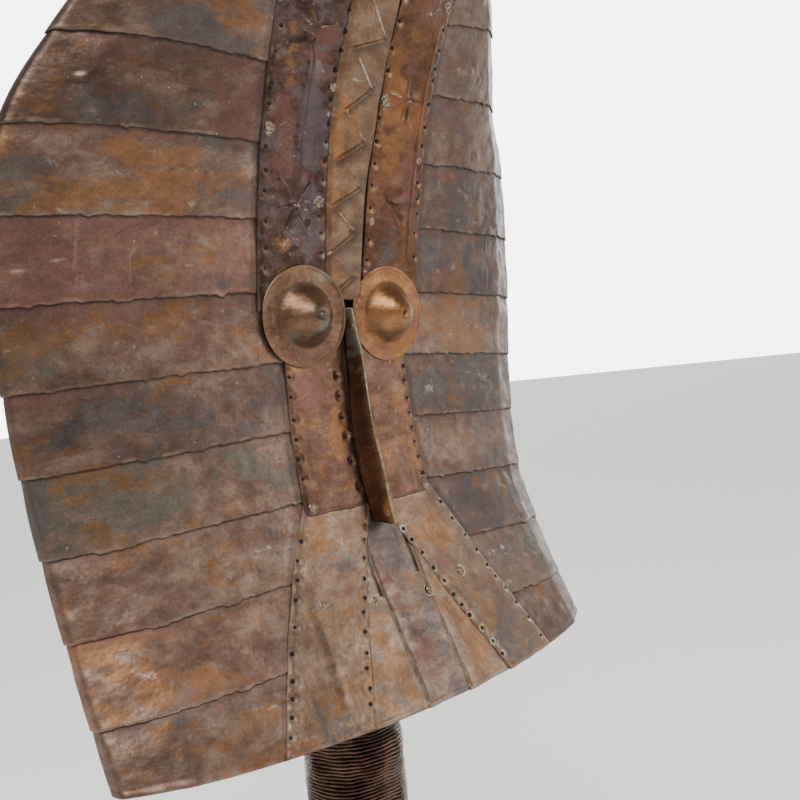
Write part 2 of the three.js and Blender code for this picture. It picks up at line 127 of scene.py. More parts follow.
def curve_through(knots, length, size):
    """A smooth curve through [place, value] knots, both given as shares."""
    xs = np.array([place for place, value in knots]) * length
    ys = np.array([value for place, value in knots]) * size
    count = len(xs)
    before = np.maximum(np.arange(count) - 1, 0)
    after = np.minimum(np.arange(count) + 1, count - 1)
    slope = (ys[after] - ys[before]) / (xs[after] - xs[before])

    def at(x):
        i = np.clip(np.searchsorted(xs, x) - 1, 0, count - 2)
        span = xs[i + 1] - xs[i]
        t = (x - xs[i]) / span
        s = 1 - t
        ends = ys[i] * s * s * (1 + 2 * t) + ys[i + 1] * t * t * (1 + 2 * s)
        return ends + span * s * t * (slope[i] * s - slope[i + 1] * t)

    return at


half_width = curve_through(
    [(0, 0.93), (0.2, 0.94), (0.42, 0.992), (0.53, 1), (0.62, 0.95), (0.7, 0.84), (0.8, 0.66),
     (0.9, 0.38), (1, 0.07)],
    FACE_HEIGHT, FACE_HALF_WIDTH)
hollow = curve_through(
    [(0, 0), (0.12, 0.053), (0.23, 0.087), (0.34, 0.096), (0.46, 0.088), (0.57, 0.066),
     (0.69, 0.026), (0.8, -0.028), (1, -0.125)],
    FACE_HEIGHT, FACE_HEIGHT)
sweep = curve_through(
    [(0, 0.175), (0.4, 0.148), (0.57, 0.18), (0.7, 0.188), (0.82, 0.14), (0.92, 0.06), (1, 0.01)],
    FACE_HEIGHT, FACE_HALF_WIDTH)
keel = curve_through(
    [(0, 0.98), (0.1, 0.62), (0.2, 0.4), (0.42, 0.24), (0.7, 0.16), (1, 0.03)],
    FACE_HEIGHT, CHIN_REACH)

# How the front bows: gently up to a crease near the rim, at this share of the half width, then straight
CREASE = 0.85
CREASE_SWEEP = 0.57
BOW_POWER = 2.2
# Step over which slopes are measured
STEP = 0.5


def bow(share):
    inner = CREASE_SWEEP * (np.minimum(share, CREASE) / CREASE) ** BOW_POWER
    outer = CREASE_SWEEP + (1 - CREASE_SWEEP) * (share - CREASE) / (1 - CREASE)
    return np.where(share < CREASE, inner, outer)


def front_y(x, h):
    return hollow(h) + sweep(h) * bow(np.abs(x) / half_width(h)) - CHIN_REACH


def back_y(x, h):
    share = np.minimum(np.abs(x) / half_width(h), 1)
    swollen = (MIDDLE_THICKNESS - RIM_THICKNESS) * half_width(h) / FACE_HALF_WIDTH
    board = RIM_THICKNESS + swollen * (1 - share ** 2)
    across = np.minimum(np.abs(x) / KEEL_HALF_WIDTH, 1)
    return front_y(x, h) + board + keel(h) * (1 - across ** 2) ** 2


def chin_edge(x):
    return 0.01 * FACE_HEIGHT * (x / FACE_HALF_WIDTH) ** 2


def slope_x(surface, x, h):
    return (surface(x + STEP, h) - surface(x - STEP, h)) / (2 * STEP)


def slope_h(surface, x, h):
    return (surface(x, h + STEP) - surface(x, h - STEP)) / (2 * STEP)


def points(x, y, h):
    """One array of places from the three separate ones, at their height over the foot."""
    return np.stack(np.broadcast_arrays(x, y, CHIN_Z + h), axis=-1).astype(float)


def off_wood(surface, way, x, h, offset):
    """Places off the wood's front (way 1) or back (way -1), at a distance measured square to it."""
    sx = slope_x(surface, x, h)
    push = way * offset * np.sqrt(1 + sx ** 2 + slope_h(surface, x, h) ** 2) / (1 + sx ** 2)
    return points(x + sx * push, surface(x, h) - push, h)


def over_front(x, h, offset):
    return off_wood(front_y, 1, x, h, offset + swell(x, h))


def over_rim(h, offset, at_back):
    """The front or back corner of the rim."""
    edge = half_width(h)
    inner = edge - 2 * STEP
    push = offset * np.hypot(1, (half_width(h + STEP) - half_width(h - STEP)) / (2 * STEP))
    surface = back_y if at_back else front_y
    sx = slope_x(surface, inner, h)
    length = np.sqrt(1 + sx ** 2 + slope_h(surface, inner, h) ** 2)
    out = (offset if at_back else -offset - swell(edge, h)) * length
    return points(edge + push, surface(edge, h) + sx * push + out, h)


# Random relief, the same on every run

LUMP_TABLE = 89


def lumps(u, v, size, seed):
    """Smooth random values between -1 and 1, in lumps about as wide as size."""
    table = np.random.default_rng(seed).uniform(-1, 1, (LUMP_TABLE, LUMP_TABLE))
    a = np.asarray(u, float) / size + 17.3
    b = np.asarray(v, float) / size + 43.9
    i, j = np.floor(a).astype(int), np.floor(b).astype(int)
    s, t = a - i, b - j
    s, t = s * s * (3 - 2 * s), t * t * (3 - 2 * t)

    def corner(m, n):
        return table[m % LUMP_TABLE, n % LUMP_TABLE]

    low = corner(i, j) * (1 - s) + corner(i + 1, j) * s
    high = corner(i, j + 1) * (1 - s) + corner(i + 1, j + 1) * s
    return low * (1 - t) + high * t


def swell(x, h):
    """The wood under the metal isn't quite even."""
    return 0.25 + 0.4 * lumps(x, h, 43, 1) + 0.2 * lumps(x, h, 18, 2)


def bump(distance, width):
    return np.exp(-(distance / width) ** 2)


def between(value, low, high):
    """0 below low, 1 above high, smooth between."""
    t = np.clip((value - low) / (high - low), 0, 1)
    return t * t * (3 - 2 * t)


# Meshes

def facing(grid):
    """Unit normals of a grid of points."""
    down = np.gradient(grid, axis=0)
    across = np.gradient(grid, axis=1)
    normal = np.cross(across, down)
    return normal / np.maximum(np.linalg.norm(normal, axis=2, keepdims=True), 1e-9)


def new_object(name, data):
    obj = bpy.data.objects.new(name, data)
    bpy.context.scene.collection.objects.link(obj)
    return obj


def lay_paint(mesh, paint):
    """Colour attributes of four channels each; a channel is one value or one for every point."""
    for label, channels in paint.items():
        values = [np.broadcast_to(channel, len(mesh.vertices)) for channel in channels]
        layer = mesh.attributes.new(label, "FLOAT_COLOR", "POINT")
        layer.data.foreach_set("color", np.stack(values, axis=-1).astype(np.float32).ravel())


def mesh_object(name, verts, faces, paint):
    """A smooth mesh from millimetre places, with its paint."""
    mesh = bpy.data.meshes.new(name)
    mesh.from_pydata((verts * MM).tolist(), [], faces)
    mesh.validate()
    lay_paint(mesh, paint)
    mesh.shade_smooth()
    return new_object(name, mesh)


# Grid cells that a sheet's edge is tucked under, and that one cell of its coarse back spans
EDGE_TUCK = 2
BACK_STEP = 8


def sheet_object(name, grid, paint, outward=(0, -1, 0), thickness=SHEET):
    """A closed sheet: the fine grid in front, its edges rolled over, and a coarse back."""
    normal = facing(grid)
    sign = 1 if (normal @ np.array(outward)).mean() > 0 else -1
    inner = grid - sign * normal * thickness
    (r, under_r), (c, under_c) = (
        (np.r_[EDGE_TUCK, 0, np.arange(count), count - 1, count - 1 - EDGE_TUCK],
         np.r_[True, True, np.zeros(count, bool), True, True]) for count in grid.shape[:2])
    turned = inner[r][:, c]
    front = np.where((under_r[:, None] | under_c)[..., None], turned, grid[r][:, c])
    rows, cols = front.shape[:2]
    ids = np.arange(rows * cols).reshape(rows, cols)
    corners = (ids[:-1, :-1], ids[:-1, 1:], ids[1:, 1:], ids[1:, :-1])
    faces = np.stack([corner.ravel() for corner in corners[::sign]], axis=1).tolist()

    row_stops, col_stops = (sorted({*range(0, count - 1, BACK_STEP), count - 1}) for count in (rows, cols))
    inside = np.ix_(row_stops[1:-1], col_stops[1:-1])
    extra = turned[inside].reshape(-1, 3)
    back = ids.copy()
    back[inside] = rows * cols + np.arange(len(extra)).reshape(len(row_stops) - 2, len(col_stops) - 2)

    def side(i0, j0, i1, j1):
        """Ids from one corner of a back cell to the next, with the fine ones on the sheet's border."""
        if i0 == i1 and i0 in (0, rows - 1):
            return ids[i0, np.arange(j0, j1, 1 if j1 > j0 else -1)].tolist()
        if j0 == j1 and j0 in (0, cols - 1):
            return ids[np.arange(i0, i1, 1 if i1 > i0 else -1), j0].tolist()
        return [int(back[i0, j0])]

    for i0, i1 in zip(row_stops, row_stops[1:]):
        for j0, j1 in zip(col_stops, col_stops[1:]):
            ring = side(i0, j0, i1, j0) + side(i1, j0, i1, j1) + side(i1, j1, i0, j1) + side(i0, j1, i0, j0)
            faces.append(ring[::sign])

    def spread(channel):
        fine = np.broadcast_to(channel, grid.shape[:2])[r][:, c].ravel()
        return np.r_[fine, np.zeros(len(extra))]

    paint = {label: [spread(channel) for channel in channels] for label, channels in paint.items()}
    return mesh_object(name, np.vstack([front.reshape(-1, 3), extra]), faces, paint)


def finished(obj, piece, material):
    """Every piece rides on the one body and takes its finish."""
    obj.data.materials.clear()
    obj.data.materials.append(material)
    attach(obj, "root")
    if piece:
        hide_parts(piece)


# Materials

def linear(code):
    """An sRGB hex colour as linear values."""
    parts = [int(code[i:i + 2], 16) / 255 for i in (1, 3, 5)]
    return [p / 12.92 if p <= 0.04045 else ((p + 0.055) / 1.055) ** 2.4 for p in parts] + [1.0]


def add(tree, kind, sockets=None, **settings):
    """A node with its settings, and values or links on its sockets."""
    node = tree.nodes.new(kind)
    for key, value in settings.items():
        setattr(node, key, value)
    for key, value in (sockets or {}).items():
        if isinstance(value, bpy.types.NodeSocket):
            tree.links.new(value, node.inputs[key])
        else:
            node.inputs[key].default_value = value
    return node


def per_metre(size):
    """Noise scale for lumps of a size in millimetres."""
    return 1 / (size * MM)


def start_material(name):
    """An empty material, and the place on the object that its patterns read."""
    material = bpy.data.materials.new(name)
    material.use_nodes = True
    tree = material.node_tree
    tree.nodes.clear()
    return material, tree, add(tree, "ShaderNodeTexCoord").outputs["Object"]


# Stains in the order they lie on the copper: colour, strength, and half width of their soft border
STAINED = {
    "plum": ("#734e46", 0.62, 0.26), "slate": ("#514d4d", 0.7, 0.2), "olive": ("#67655a", 0.62, 0.2),
    "orange": ("#8c5f39", 0.58, 0.19), "pale": ("#aea18d", 0.75, 0.16),
}
# A stain shows where this gain times the noise, moved by this shift and raised by the stain's mask,
# passes this level
STAIN_GAIN = 2.4
STAIN_SHIFT = -2.2
STAIN_LEVEL = 0.9
DUST = "#b9a58c"
# Colour of dirt and of painted shade
DIRT_AND_SHADE = "#1d0e09"
COPPER_METALLIC = 0.9


def aged_copper(name, dark, base, light, roughness, spread=17, worn=0.2, slate=STAINED["slate"][0]):
    """Beaten sheet copper browned by age: a satin sheen over clouds of brown oxide, drifting into
    plum, slate grey, olive and orange, with seams darker from dirt and painted shade and edges lighter
    where rubbed and where highlights are painted. spread is the clouds' size in millimetres, worn the
    strength of the drawn-out lighter wear. The grain and the specks of dust are drawn coarser than
    real ones, so that they show."""
    material, tree, place = start_material(name)
    lying, drawn = (
        add(tree, "ShaderNodeMapping", {"Vector": place, "Scale": stretch}).outputs["Vector"]
        for stretch in ((0.6, 0.6, 1.0), (0.16, 0.16, 1.5)))
    noise = {}
    for label, where, size, detail, rough, twist in (
            ("clouds", lying, spread, 6.0, 0.62, 0.5), ("blotches", lying, 6, 7.0, 0.7, 0.3),
            ("streaks", drawn, 4, 5.0, 0.62, 0.0), ("grain", place, 0.9, 3.0, 0.5, 0.0),
            ("specks", place, 1.9, 1.0, 0.5, 0.0), ("hammering", place, 9, 3.0, 0.5, 0.0)):
        noise[label] = add(tree, "ShaderNodeTexNoise", {
            "Vector": where, "Scale": per_metre(size), "Detail": detail, "Roughness": rough,
            "Distortion": twist}).outputs
    patina, ageing_and_light = (
        add(tree, "ShaderNodeAttribute", attribute_name=label).outputs for label in ("patina", "ageing_and_light"))
    cloud, blotch, stain, age_and_light = (
        add(tree, "ShaderNodeSeparateColor", {"Color": source["Color"]}).outputs
        for source in (noise["clouds"], noise["blotches"], patina, ageing_and_light))

    # Where each pattern begins and is full, and the values that it runs between
    ground = add(tree, "ShaderNodeMath", {0: cloud[0], 1: blotch[1]}, operation="ADD").outputs[0]
    # The dirty places hold painted shade too, and the rubbed places hold painted highlights
    part = {"dirty and shaded places": age_and_light[0], "rubbed places": age_and_light[1]}
    for label, source, low, high, first, last in (
            ("ground", ground, 0.8, 1.24, 0.0, 1.0),
            ("wear", noise["streaks"]["Fac"], 0.52, 0.78, 0.0, worn),
            ("tone", ageing_and_light["Alpha"], 0.0, 1.0, 0.5, 1.5),
            ("grain", noise["grain"]["Fac"], 0.3, 0.7, 0.84, 1.14),
            ("mottling", blotch[0], 0.36, 0.66, 0.88, 1.13),
            ("specks", noise["specks"]["Fac"], 0.73, 0.77, 0.0, 1.0),
            ("dusty places", blotch[1], 0.5, 0.62, 0.0, 0.65),
            ("rubbing and highlights", blotch[0], 0.36, 0.56, 0.3, 1.0),
            ("dirt and shade", blotch[1], 0.3, 0.65, 1.0, 0.75),
            ("roughness", blotch[2], 0.3, 0.7, roughness - 0.1, roughness + 0.14)):
        part[label] = add(tree, "ShaderNodeMapRange", {
            "Value": source, "From Min": low, "From Max": high, "To Min": first, "To Max": last},
            interpolation_type="SMOOTHSTEP" if label in ("ground", "wear") else "LINEAR").outputs["Result"]
    for label, other in (("grain", "mottling"), ("tone", "grain"), ("specks", "dusty places"),
                         ("rubbing and highlights", "rubbed places"), ("dirt and shade", "dirty and shaded places")):
        part[label] = add(tree, "ShaderNodeMath", {0: part[label], 1: part[other]},
                          operation="MULTIPLY").outputs[0]

    # Stains, each where broad and fine noise together pass what its mask leaves free
    stains = []
    for label, amount, broad, fine in (
            ("plum", stain[2], cloud[1], blotch[2]), ("slate", stain[0], cloud[2], blotch[1]),
            ("olive", age_and_light[2], cloud[0], blotch[0]), ("orange", stain[1], cloud[1], blotch[0]),
            ("pale", patina["Alpha"], cloud[2], blotch[2])):
        shade, strength, border = STAINED[label]
        level = add(tree, "ShaderNodeMath", {0: broad, 1: fine}, operation="ADD").outputs[0]
        if label in ("orange", "olive"):
            level = add(tree, "ShaderNodeMath", {0: 2.0, 1: level}, operation="SUBTRACT").outputs[0]
        level = add(tree, "ShaderNodeMath", {0: level, 1: STAIN_GAIN, 2: STAIN_SHIFT},
                    operation="MULTIPLY_ADD").outputs[0]
        level = add(tree, "ShaderNodeMath", {0: level, 1: amount}, operation="ADD").outputs[0]
        share = add(tree, "ShaderNodeMapRange", {
            "Value": level, "From Min": STAIN_LEVEL - border, "From Max": STAIN_LEVEL + border,
            "To Max": strength}, interpolation_type="SMOOTHSTEP").outputs["Result"]
        stains.append((share, slate if label == "slate" else shade))

    # Layers of colour from the ground up; the one without a shade is the tone of each sheet with its
    # grain, in places painted lighter and darker for light and shade, and over it come specks of dust,
    # metal rubbed bright at the edges with painted highlights, and dirt in the seams with painted shade
    colour = linear(dark)
    for share, shade in ((part["ground"], base), (part["wear"], light), *stains, (part["tone"], None),
                         (part["specks"], DUST), (part["rubbing and highlights"], light), (part["dirt and shade"], DIRT_AND_SHADE)):
        if shade:
            colour = add(tree, "ShaderNodeMix", {0: share, 6: colour, 7: linear(shade)},
                         data_type="RGBA").outputs[2]
        else:
            colour = add(tree, "ShaderNodeVectorMath", {0: colour, "Scale": share},
                         operation="SCALE").outputs["Vector"]
    rough, metal = (
        add(tree, "ShaderNodeMath", {0: part["dirt and shade"], 1: change, 2: clean},
            operation="MULTIPLY_ADD").outputs[0]
        for change, clean in ((0.35, part["roughness"]), (-0.8 * COPPER_METALLIC, COPPER_METALLIC)))

    # Hammer marks, drawn scratches and grain in the surface
    relief = {}
    for label, strength, depth in (("hammering", 0.7, 1.1), ("streaks", 0.25, 0.3), ("grain", 0.25, 0.1)):
        relief["Normal"] = add(tree, "ShaderNodeBump", {
            "Height": noise[label]["Fac"], "Strength": strength, "Distance": depth * MM,
            **relief}).outputs["Normal"]
    shader = add(tree, "ShaderNodeBsdfPrincipled",
                 {"Base Color": colour, "Metallic": metal, "Roughness": rough, **relief})
    add(tree, "ShaderNodeOutputMaterial", {"Surface": shader.outputs["BSDF"]})
    return material


def small_metal(name, colour, roughness, metallic):
    """Small cast or cut heads: one colour with a little mottling, too small to show more."""
    material, tree, place = start_material(name)
    rust = add(tree, "ShaderNodeTexNoise", {
        "Vector": place, "Scale": per_metre(0.9), "Detail": 3.0}).outputs["Fac"]
    share = add(tree, "ShaderNodeMapRange", {
        "Value": rust, "From Min": 0.32, "From Max": 0.62}).outputs["Result"]
    dark = [0.4 * part for part in linear(colour)[:3]] + [1.0]
    shade = add(tree, "ShaderNodeMix", {0: share, 6: dark, 7: linear(colour)}, data_type="RGBA").outputs[2]
    relief = add(tree, "ShaderNodeBump", {
        "Height": rust, "Strength": 0.4, "Distance": 0.1 * MM}).outputs["Normal"]
    shader = add(tree, "ShaderNodeBsdfPrincipled",
                 {"Base Color": shade, "Metallic": metallic, "Roughness": roughness, "Normal": relief})
    add(tree, "ShaderNodeOutputMaterial", {"Surface": shader.outputs["BSDF"]})
    return material


def dry_wood():
    """Old unvarnished wood blackened by handling and smoke: matt, with long grain, splits and dust."""
    material, tree, place = start_material("smoke_darkened_wood")
    along = add(tree, "ShaderNodeMapping", {"Vector": place, "Scale": (1.0, 1.0, 0.07)}).outputs["Vector"]
    grain, rings, clouds = (
        add(tree, "ShaderNodeTexNoise", {
            "Vector": where, "Scale": per_metre(size), "Detail": detail, "Roughness": rough,
            "Distortion": twist}).outputs["Fac"]
        for where, size, detail, rough, twist in (
            (along, 1.8, 6.0, 0.66, 0.0), (along, 9, 3.0, 0.5, 0.5), (place, 55, 6.0, 0.62, 0.0)))
    colour = linear("#1a110b")
    for pattern, low, high, most, shade in (
            (grain, 0.34, 0.68, 1.0, "#4d3524"), (rings, 0.45, 0.7, 0.5, "#2c1c12"),
            (clouds, 0.46, 0.8, 0.4, "#6a5140")):
        share = add(tree, "ShaderNodeMapRange", {
            "Value": pattern, "From Min": low, "From Max": high, "To Max": most}).outputs["Result"]
        colour = add(tree, "ShaderNodeMix", {0: share, 6: colour, 7: linear(shade)},
                     data_type="RGBA").outputs[2]
    relief = {}
    for pattern, strength, depth in ((rings, 0.4, 0.8), (grain, 0.6, 0.4)):
        relief["Normal"] = add(tree, "ShaderNodeBump", {
            "Height": pattern, "Strength": strength, "Distance": depth * MM, **relief}).outputs["Normal"]
    shader = add(tree, "ShaderNodeBsdfPrincipled", {"Base Color": colour, "Roughness": 0.68, **relief})
    add(tree, "ShaderNodeOutputMaterial", {"Surface": shader.outputs["BSDF"]})
    return material


# The copper of each group of pieces: dark, middle and light shade, roughness, then cloud size and
# strength of the wear where they differ, and on the plum sheet a redder slate
COPPER = {label: aged_copper(f"aged_copper_{label}", *finish) for label, finish in {
    "wing": ("#634c41", "#866e5f", "#9b8774", 0.44),
    "plum": ("#38261f", "#54403a", "#86705f", 0.36, 17, 0.05, "#594f50"),
    "tawny": ("#4c2e1f", "#6a4730", "#947357", 0.38),
    "golden": ("#5c4431", "#7a604c", "#a58c70", 0.4, 17, 0.1),
    "russet": ("#533a2e", "#6e5142", "#91765f", 0.38, 17, 0.12),
    "chin": ("#6d5646", "#8a705d", "#a48f7b", 0.42),
    "fan": ("#6e5a4b", "#8f7a6a", "#ad9a86", 0.42),
    "brown_disc": ("#543b2c", "#735743", "#9b8670", 0.38, 13),
    "golden_disc": ("#6c452a", "#8e6745", "#aa8c69", 0.38, 13),
    "nose": ("#34190b", "#4e2a12", "#a2947c", 0.34, 17, 0),
    "leg": ("#6d5847", "#8f7862", "#aa957d", 0.42),
    "wire": ("#35261f", "#6a5041", "#9a8470", 0.36, 9),
}.items()}
NAIL_IRON = small_metal("blackened_iron_nails", "#15100d", 0.75, 0.3)
SCREW_BRASS = small_metal("tarnished_brass_screws", "#96826a", 0.42, 0.85)
WOOD = dry_wood()

# The order in which shares of the stains are given and their masks are kept
STAINS = ("slate", "orange", "plum", "pale", "olive")


def coverage(x, h, shares, spots, seed):
    """How much of each stain lies at each point: an even share that drifts slowly, more round known
    spots. spots holds for a stain the place, half width and half height of each of its spots."""
    masks = []
    for number, (label, share) in enumerate(zip(STAINS, shares)):
        mask = share + 0.2 * lumps(x, 1.7 * h, 27, 31 + seed + number)
        most = 0.3 if label == "pale" else 0.5
        for cx, ch, rx, rh in spots.get(label, ()):
            mask = mask + most * np.exp(-0.8 * (((x - cx) / rx) ** 2 + ((h - ch) / rh) ** 2))
        masks.append(np.clip(mask, 0, 1))
    return masks


def painted(masks, dirt_and_shade, rubbed_and_lit, tone):
    """Both colour attributes: patina holds slate, orange, plum and pale; the other holds dirt with painted
    shade, rubbing with painted highlights, olive, and the tone.
    """
    slate, orange, plum, pale, olive = masks
    return {"patina": (slate, orange, plum, pale), "ageing_and_light": (dirt_and_shade, rubbed_and_lit, olive, tone)}


# Wing sheets, from the chin upwards: tone, then shares of slate, orange, plum, pale and olive
# The tones run darker towards the top: partly the sheets' own tone, partly painted shade
WING_FINISH = {
    "left": [
        (0.61, 0.22, 0.40, 0.18, 0.05, 0.16), (0.80, 0.18, 0.42, 0.14, 0.06, 0.16),
        (0.59, 0.20, 0.38, 0.20, 0.05, 0.16), (0.49, 0.50, 0.20, 0.08, 0.02, 0.50),
        (0.34, 0.44, 0.20, 0.30, 0.00, 0.08), (0.31, 0.24, 0.38, 0.32, 0.02, 0.16),
        (0.49, 0.12, 0.20, 0.85, 0.04, 0.05), (0.39, 0.40, 0.36, 0.22, 0.04, 0.24),
        (0.22, 0.40, 0.22, 0.42, 0.02, 0.10), (0.28, 0.46, 0.36, 0.15, 0.03, 0.22),
        (0.28, 0.25, 0.25, 0.42, 0.03, 0.10), (0.32, 0.36, 0.36, 0.20, 0.03, 0.15),
        (0.29, 0.30, 0.20, 0.36, 0.03, 0.15),
    ],
    "right": [
        (0.45, 0.46, 0.28, 0.16, 0.05, 0.15), (0.49, 0.36, 0.28, 0.05, 0.14, 0.56),
        (0.41, 0.62, 0.22, 0.30, 0.02, 0.05), (0.45, 0.50, 0.26, 0.10, 0.02, 0.15),
        (0.35, 0.66, 0.32, 0.05, 0.04, 0.10), (0.47, 0.12, 0.44, 0.10, 0.05, 0.36),
        (0.27, 0.56, 0.38, 0.22, 0.04, 0.05), (0.21, 0.50, 0.20, 0.10, 0.04, 0.32),
        (0.32, 0.38, 0.22, 0.15, 0.03, 0.15), (0.32, 0.30, 0.26, 0.20, 0.03, 0.15),
        (0.29, 0.26, 0.26, 0.30, 0.03, 0.10), (0.28, 0.30, 0.30, 0.20, 0.03, 0.15),
        (0.26, 0.30, 0.22, 0.30, 0.03, 0.15),
    ],
}
# Old stains on the wings
WING_SPOTS = {
    "slate": [(-89, 272, 10, 5), (-68, 268, 11, 7), (-136, 224, 10, 4), (-70, 222, 9, 9), (-62, 180, 16, 4),
              (-82, 130, 30, 12), (-134, 69, 8, 3), (-69, 53, 7, 3), (-136, 108, 10, 9), (-112, 100, 8, 10),
              (-133, 22, 13, 9), (-112, 243, 12, 6), (96, 72, 26, 9), (66, 128, 18, 9), (64, 196, 14, 9),
              (84, 226, 12, 8)],
    "orange": [(-100, 259, 5, 4), (-105, 247, 8, 3), (-86, 214, 14, 10), (-102, 229, 14, 5),
               (-130, 208, 10, 5), (-122, 165, 14, 5), (-82, 165, 16, 6), (-106, 126, 8, 5),
               (-146, 122, 5, 14), (-88, 92, 6, 5), (-66, 94, 16, 9), (-104, 11, 12, 4), (-128, 52, 18, 4),
               (-112, 33, 18, 5), (-60, 275, 10, 8), (104, 74, 5, 9), (62, 232, 14, 5), (84, 150, 18, 9),
               (92, 22, 8, 10), (70, 254, 12, 7), (76, 180, 20, 5), (82, 35, 22, 5), (70, 122, 10, 5)],
    "plum": [(-105, 188, 36, 12), (-60, 247, 12, 10), (-59, 154, 6, 6), (-118, 172, 14, 6),
             (-90, 28, 30, 4), (-80, 160, 20, 8)],
    "pale": [(-112, 272, 12, 3), (-104, 102, 8, 1.6), (-131, 41, 10, 2), (-107, 42, 7, 2), (74, 43, 13, 6)],
    "olive": [(-140, 214, 9, 7), (-134, 155, 11, 8), (-112, 96, 24, 9)],
}
# Small dents pressed into the sheets: place and half length
WING_DENTS = [
    (-113, 221, 2.8), (-102, 221, 3.2), (-91, 221.5, 2.2), (-83, 222, 2), (-76, 222, 1.7), (-69, 221, 1.5),
    (-141, 186, 3), (-128, 189, 2.6), (-116, 190, 2.6), (-86, 192, 2.2), (-116, 241, 2.6), (-103, 253, 2.2),
    (-74, 239, 2.4), (-119, 253, 2), (-121, 181, 1.8), (-95, 154, 2), (-60, 152, 1.8), (-100, 71, 2.2),
    (-80, 68, 2.4), (-112, 43, 2.8), (-84, 40, 2.2),
]
# Upright creases: place and how far they stand out
WING_CREASES = {
    "left": [(-124, 190, 0.4), (-108, 190, 0.35), (-101, 190, -0.4)],
    "right": [(112, 190, 0.3)],
}
# Left sheets with a row of dents besides the ones above; every right one has it
DENTED_LEFT = (3, 6, 11, 12)
# Grid of a wing sheet: its rows, then for each column the share of the half width across the front,
# and how far it has gone round the rim (up to 1) and in on the back (up to 2)
WING_ROWS = np.linspace(0, 1, 41)[:, None]
WING_SHARES = np.r_[np.linspace(0, 0.19, 5), np.linspace(0.2, 1, 151), np.ones(18)][None, :]
WING_WRAPS = np.r_[np.zeros(156), np.linspace(0, 2, 19)[1:]][None, :]
# Columns to soften at the crease and at both corners of the rim: the middle one, reach and times
SOFTENED = ((127, 2, 3), (155, 3, 3), (164, 3, 4))


def seam_height(level, x):
    tilt = 0.145 * (level / (0.69 * FACE_HEIGHT)) ** 3 - 0.055
    return level + tilt * (x - FACE_HALF_WIDTH / 3)


def torn(x, seed):
    """How far a sheet's ragged lower edge departs from its line."""
    ragged = 0.2 * lumps(x, 0, 14, seed) + 0.24 * lumps(x, 0, 3.6, seed + 1)
    ragged = ragged + 0.26 * lumps(x, 0, 1.7, seed + 3)
    return ragged - 0.7 * between(lumps(x, 0, 5, seed + 2), 0.5, 0.8)


def crease_line(h):
    """How far out the bands may lie: just inside the crease."""
    return (CREASE - 0.02) * half_width(h)


def forehead_outer(h):
    return np.minimum(FOREHEAD_SPAN, crease_line(h))


def cheek_outer(h):
    return CHEEK_SPAN - CHEEK_TAPER * (h - CHEEK_FOOT) / (CHEEK_TOP - CHEEK_FOOT)


def flare(h):
    return np.clip(1 - h / CHIN_BAND_TOP, 0, 1)


def chin_outer(h):
    return CHEEK_SPAN + (CHIN_SPAN - CHEEK_SPAN) * flare(h) ** 0.92


def chin_inner(h):
    return UNDER_NOSE + (FAN_HALF_WIDTH - UNDER_NOSE) * np.maximum(flare(h) - 0.04, 0)


def band_outer(h):
    """Half width that the bands cover at a height."""
    over_chin = np.where(h < EYE_LEVEL, cheek_outer(h), forehead_outer(h))
    return np.where(h < CHEEK_FOOT, chin_outer(h), over_chin)


def wing_places(side, share, wrap, h, offset, rim_offset):
    """Places of a wing sheet's outer face: across the front, round the rim and in on the back."""
    edge = half_width(h)
    slit = np.where(share < CREASE, CENTRE_SLIT * (1 - share / CREASE), 0)
    front = over_front(slit + share * edge, h, offset)
    corner = over_rim(h, rim_offset, False)
    far_corner = over_rim(h, rim_offset, True)
    turned = np.maximum(edge - WING_WRAP, 0.3 * edge)
    inward = edge + (turned - edge) * np.clip(wrap - 1, 0, 1)
    back = off_wood(back_y, -1, inward, h, rim_offset)
    round_rim = corner + (far_corner - corner) * np.clip(wrap, 0, 1)[..., None]
    grid = np.where((wrap > 0)[..., None], round_rim, front)
    grid = np.where((share >= 1)[..., None] & (wrap == 0)[..., None], corner, grid)
    grid = np.where((wrap > 1)[..., None], back, grid)
    grid[..., 0] *= side
    return grid


def wing_dents(side, number, low_level, high_level, seed):
    """Dents of one wing: the named ones, and on some sheets a short random row."""
    dents = [dent for dent in WING_DENTS if dent[0] * side > 0 and number > 1]
    random = np.random.default_rng(seed + 8)
    if side > 0 or number in DENTED_LEFT:
        start, level = random.uniform(56, 90), (low_level + high_level) / 2 + random.uniform(-4, 4)
        for place in range(random.integers(2, 5)):
            across = start + 11 * place + random.uniform(-3, 3)
            dents.append((side * across, level + random.uniform(-2, 2), random.uniform(1.5, 2.8)))
    return dents


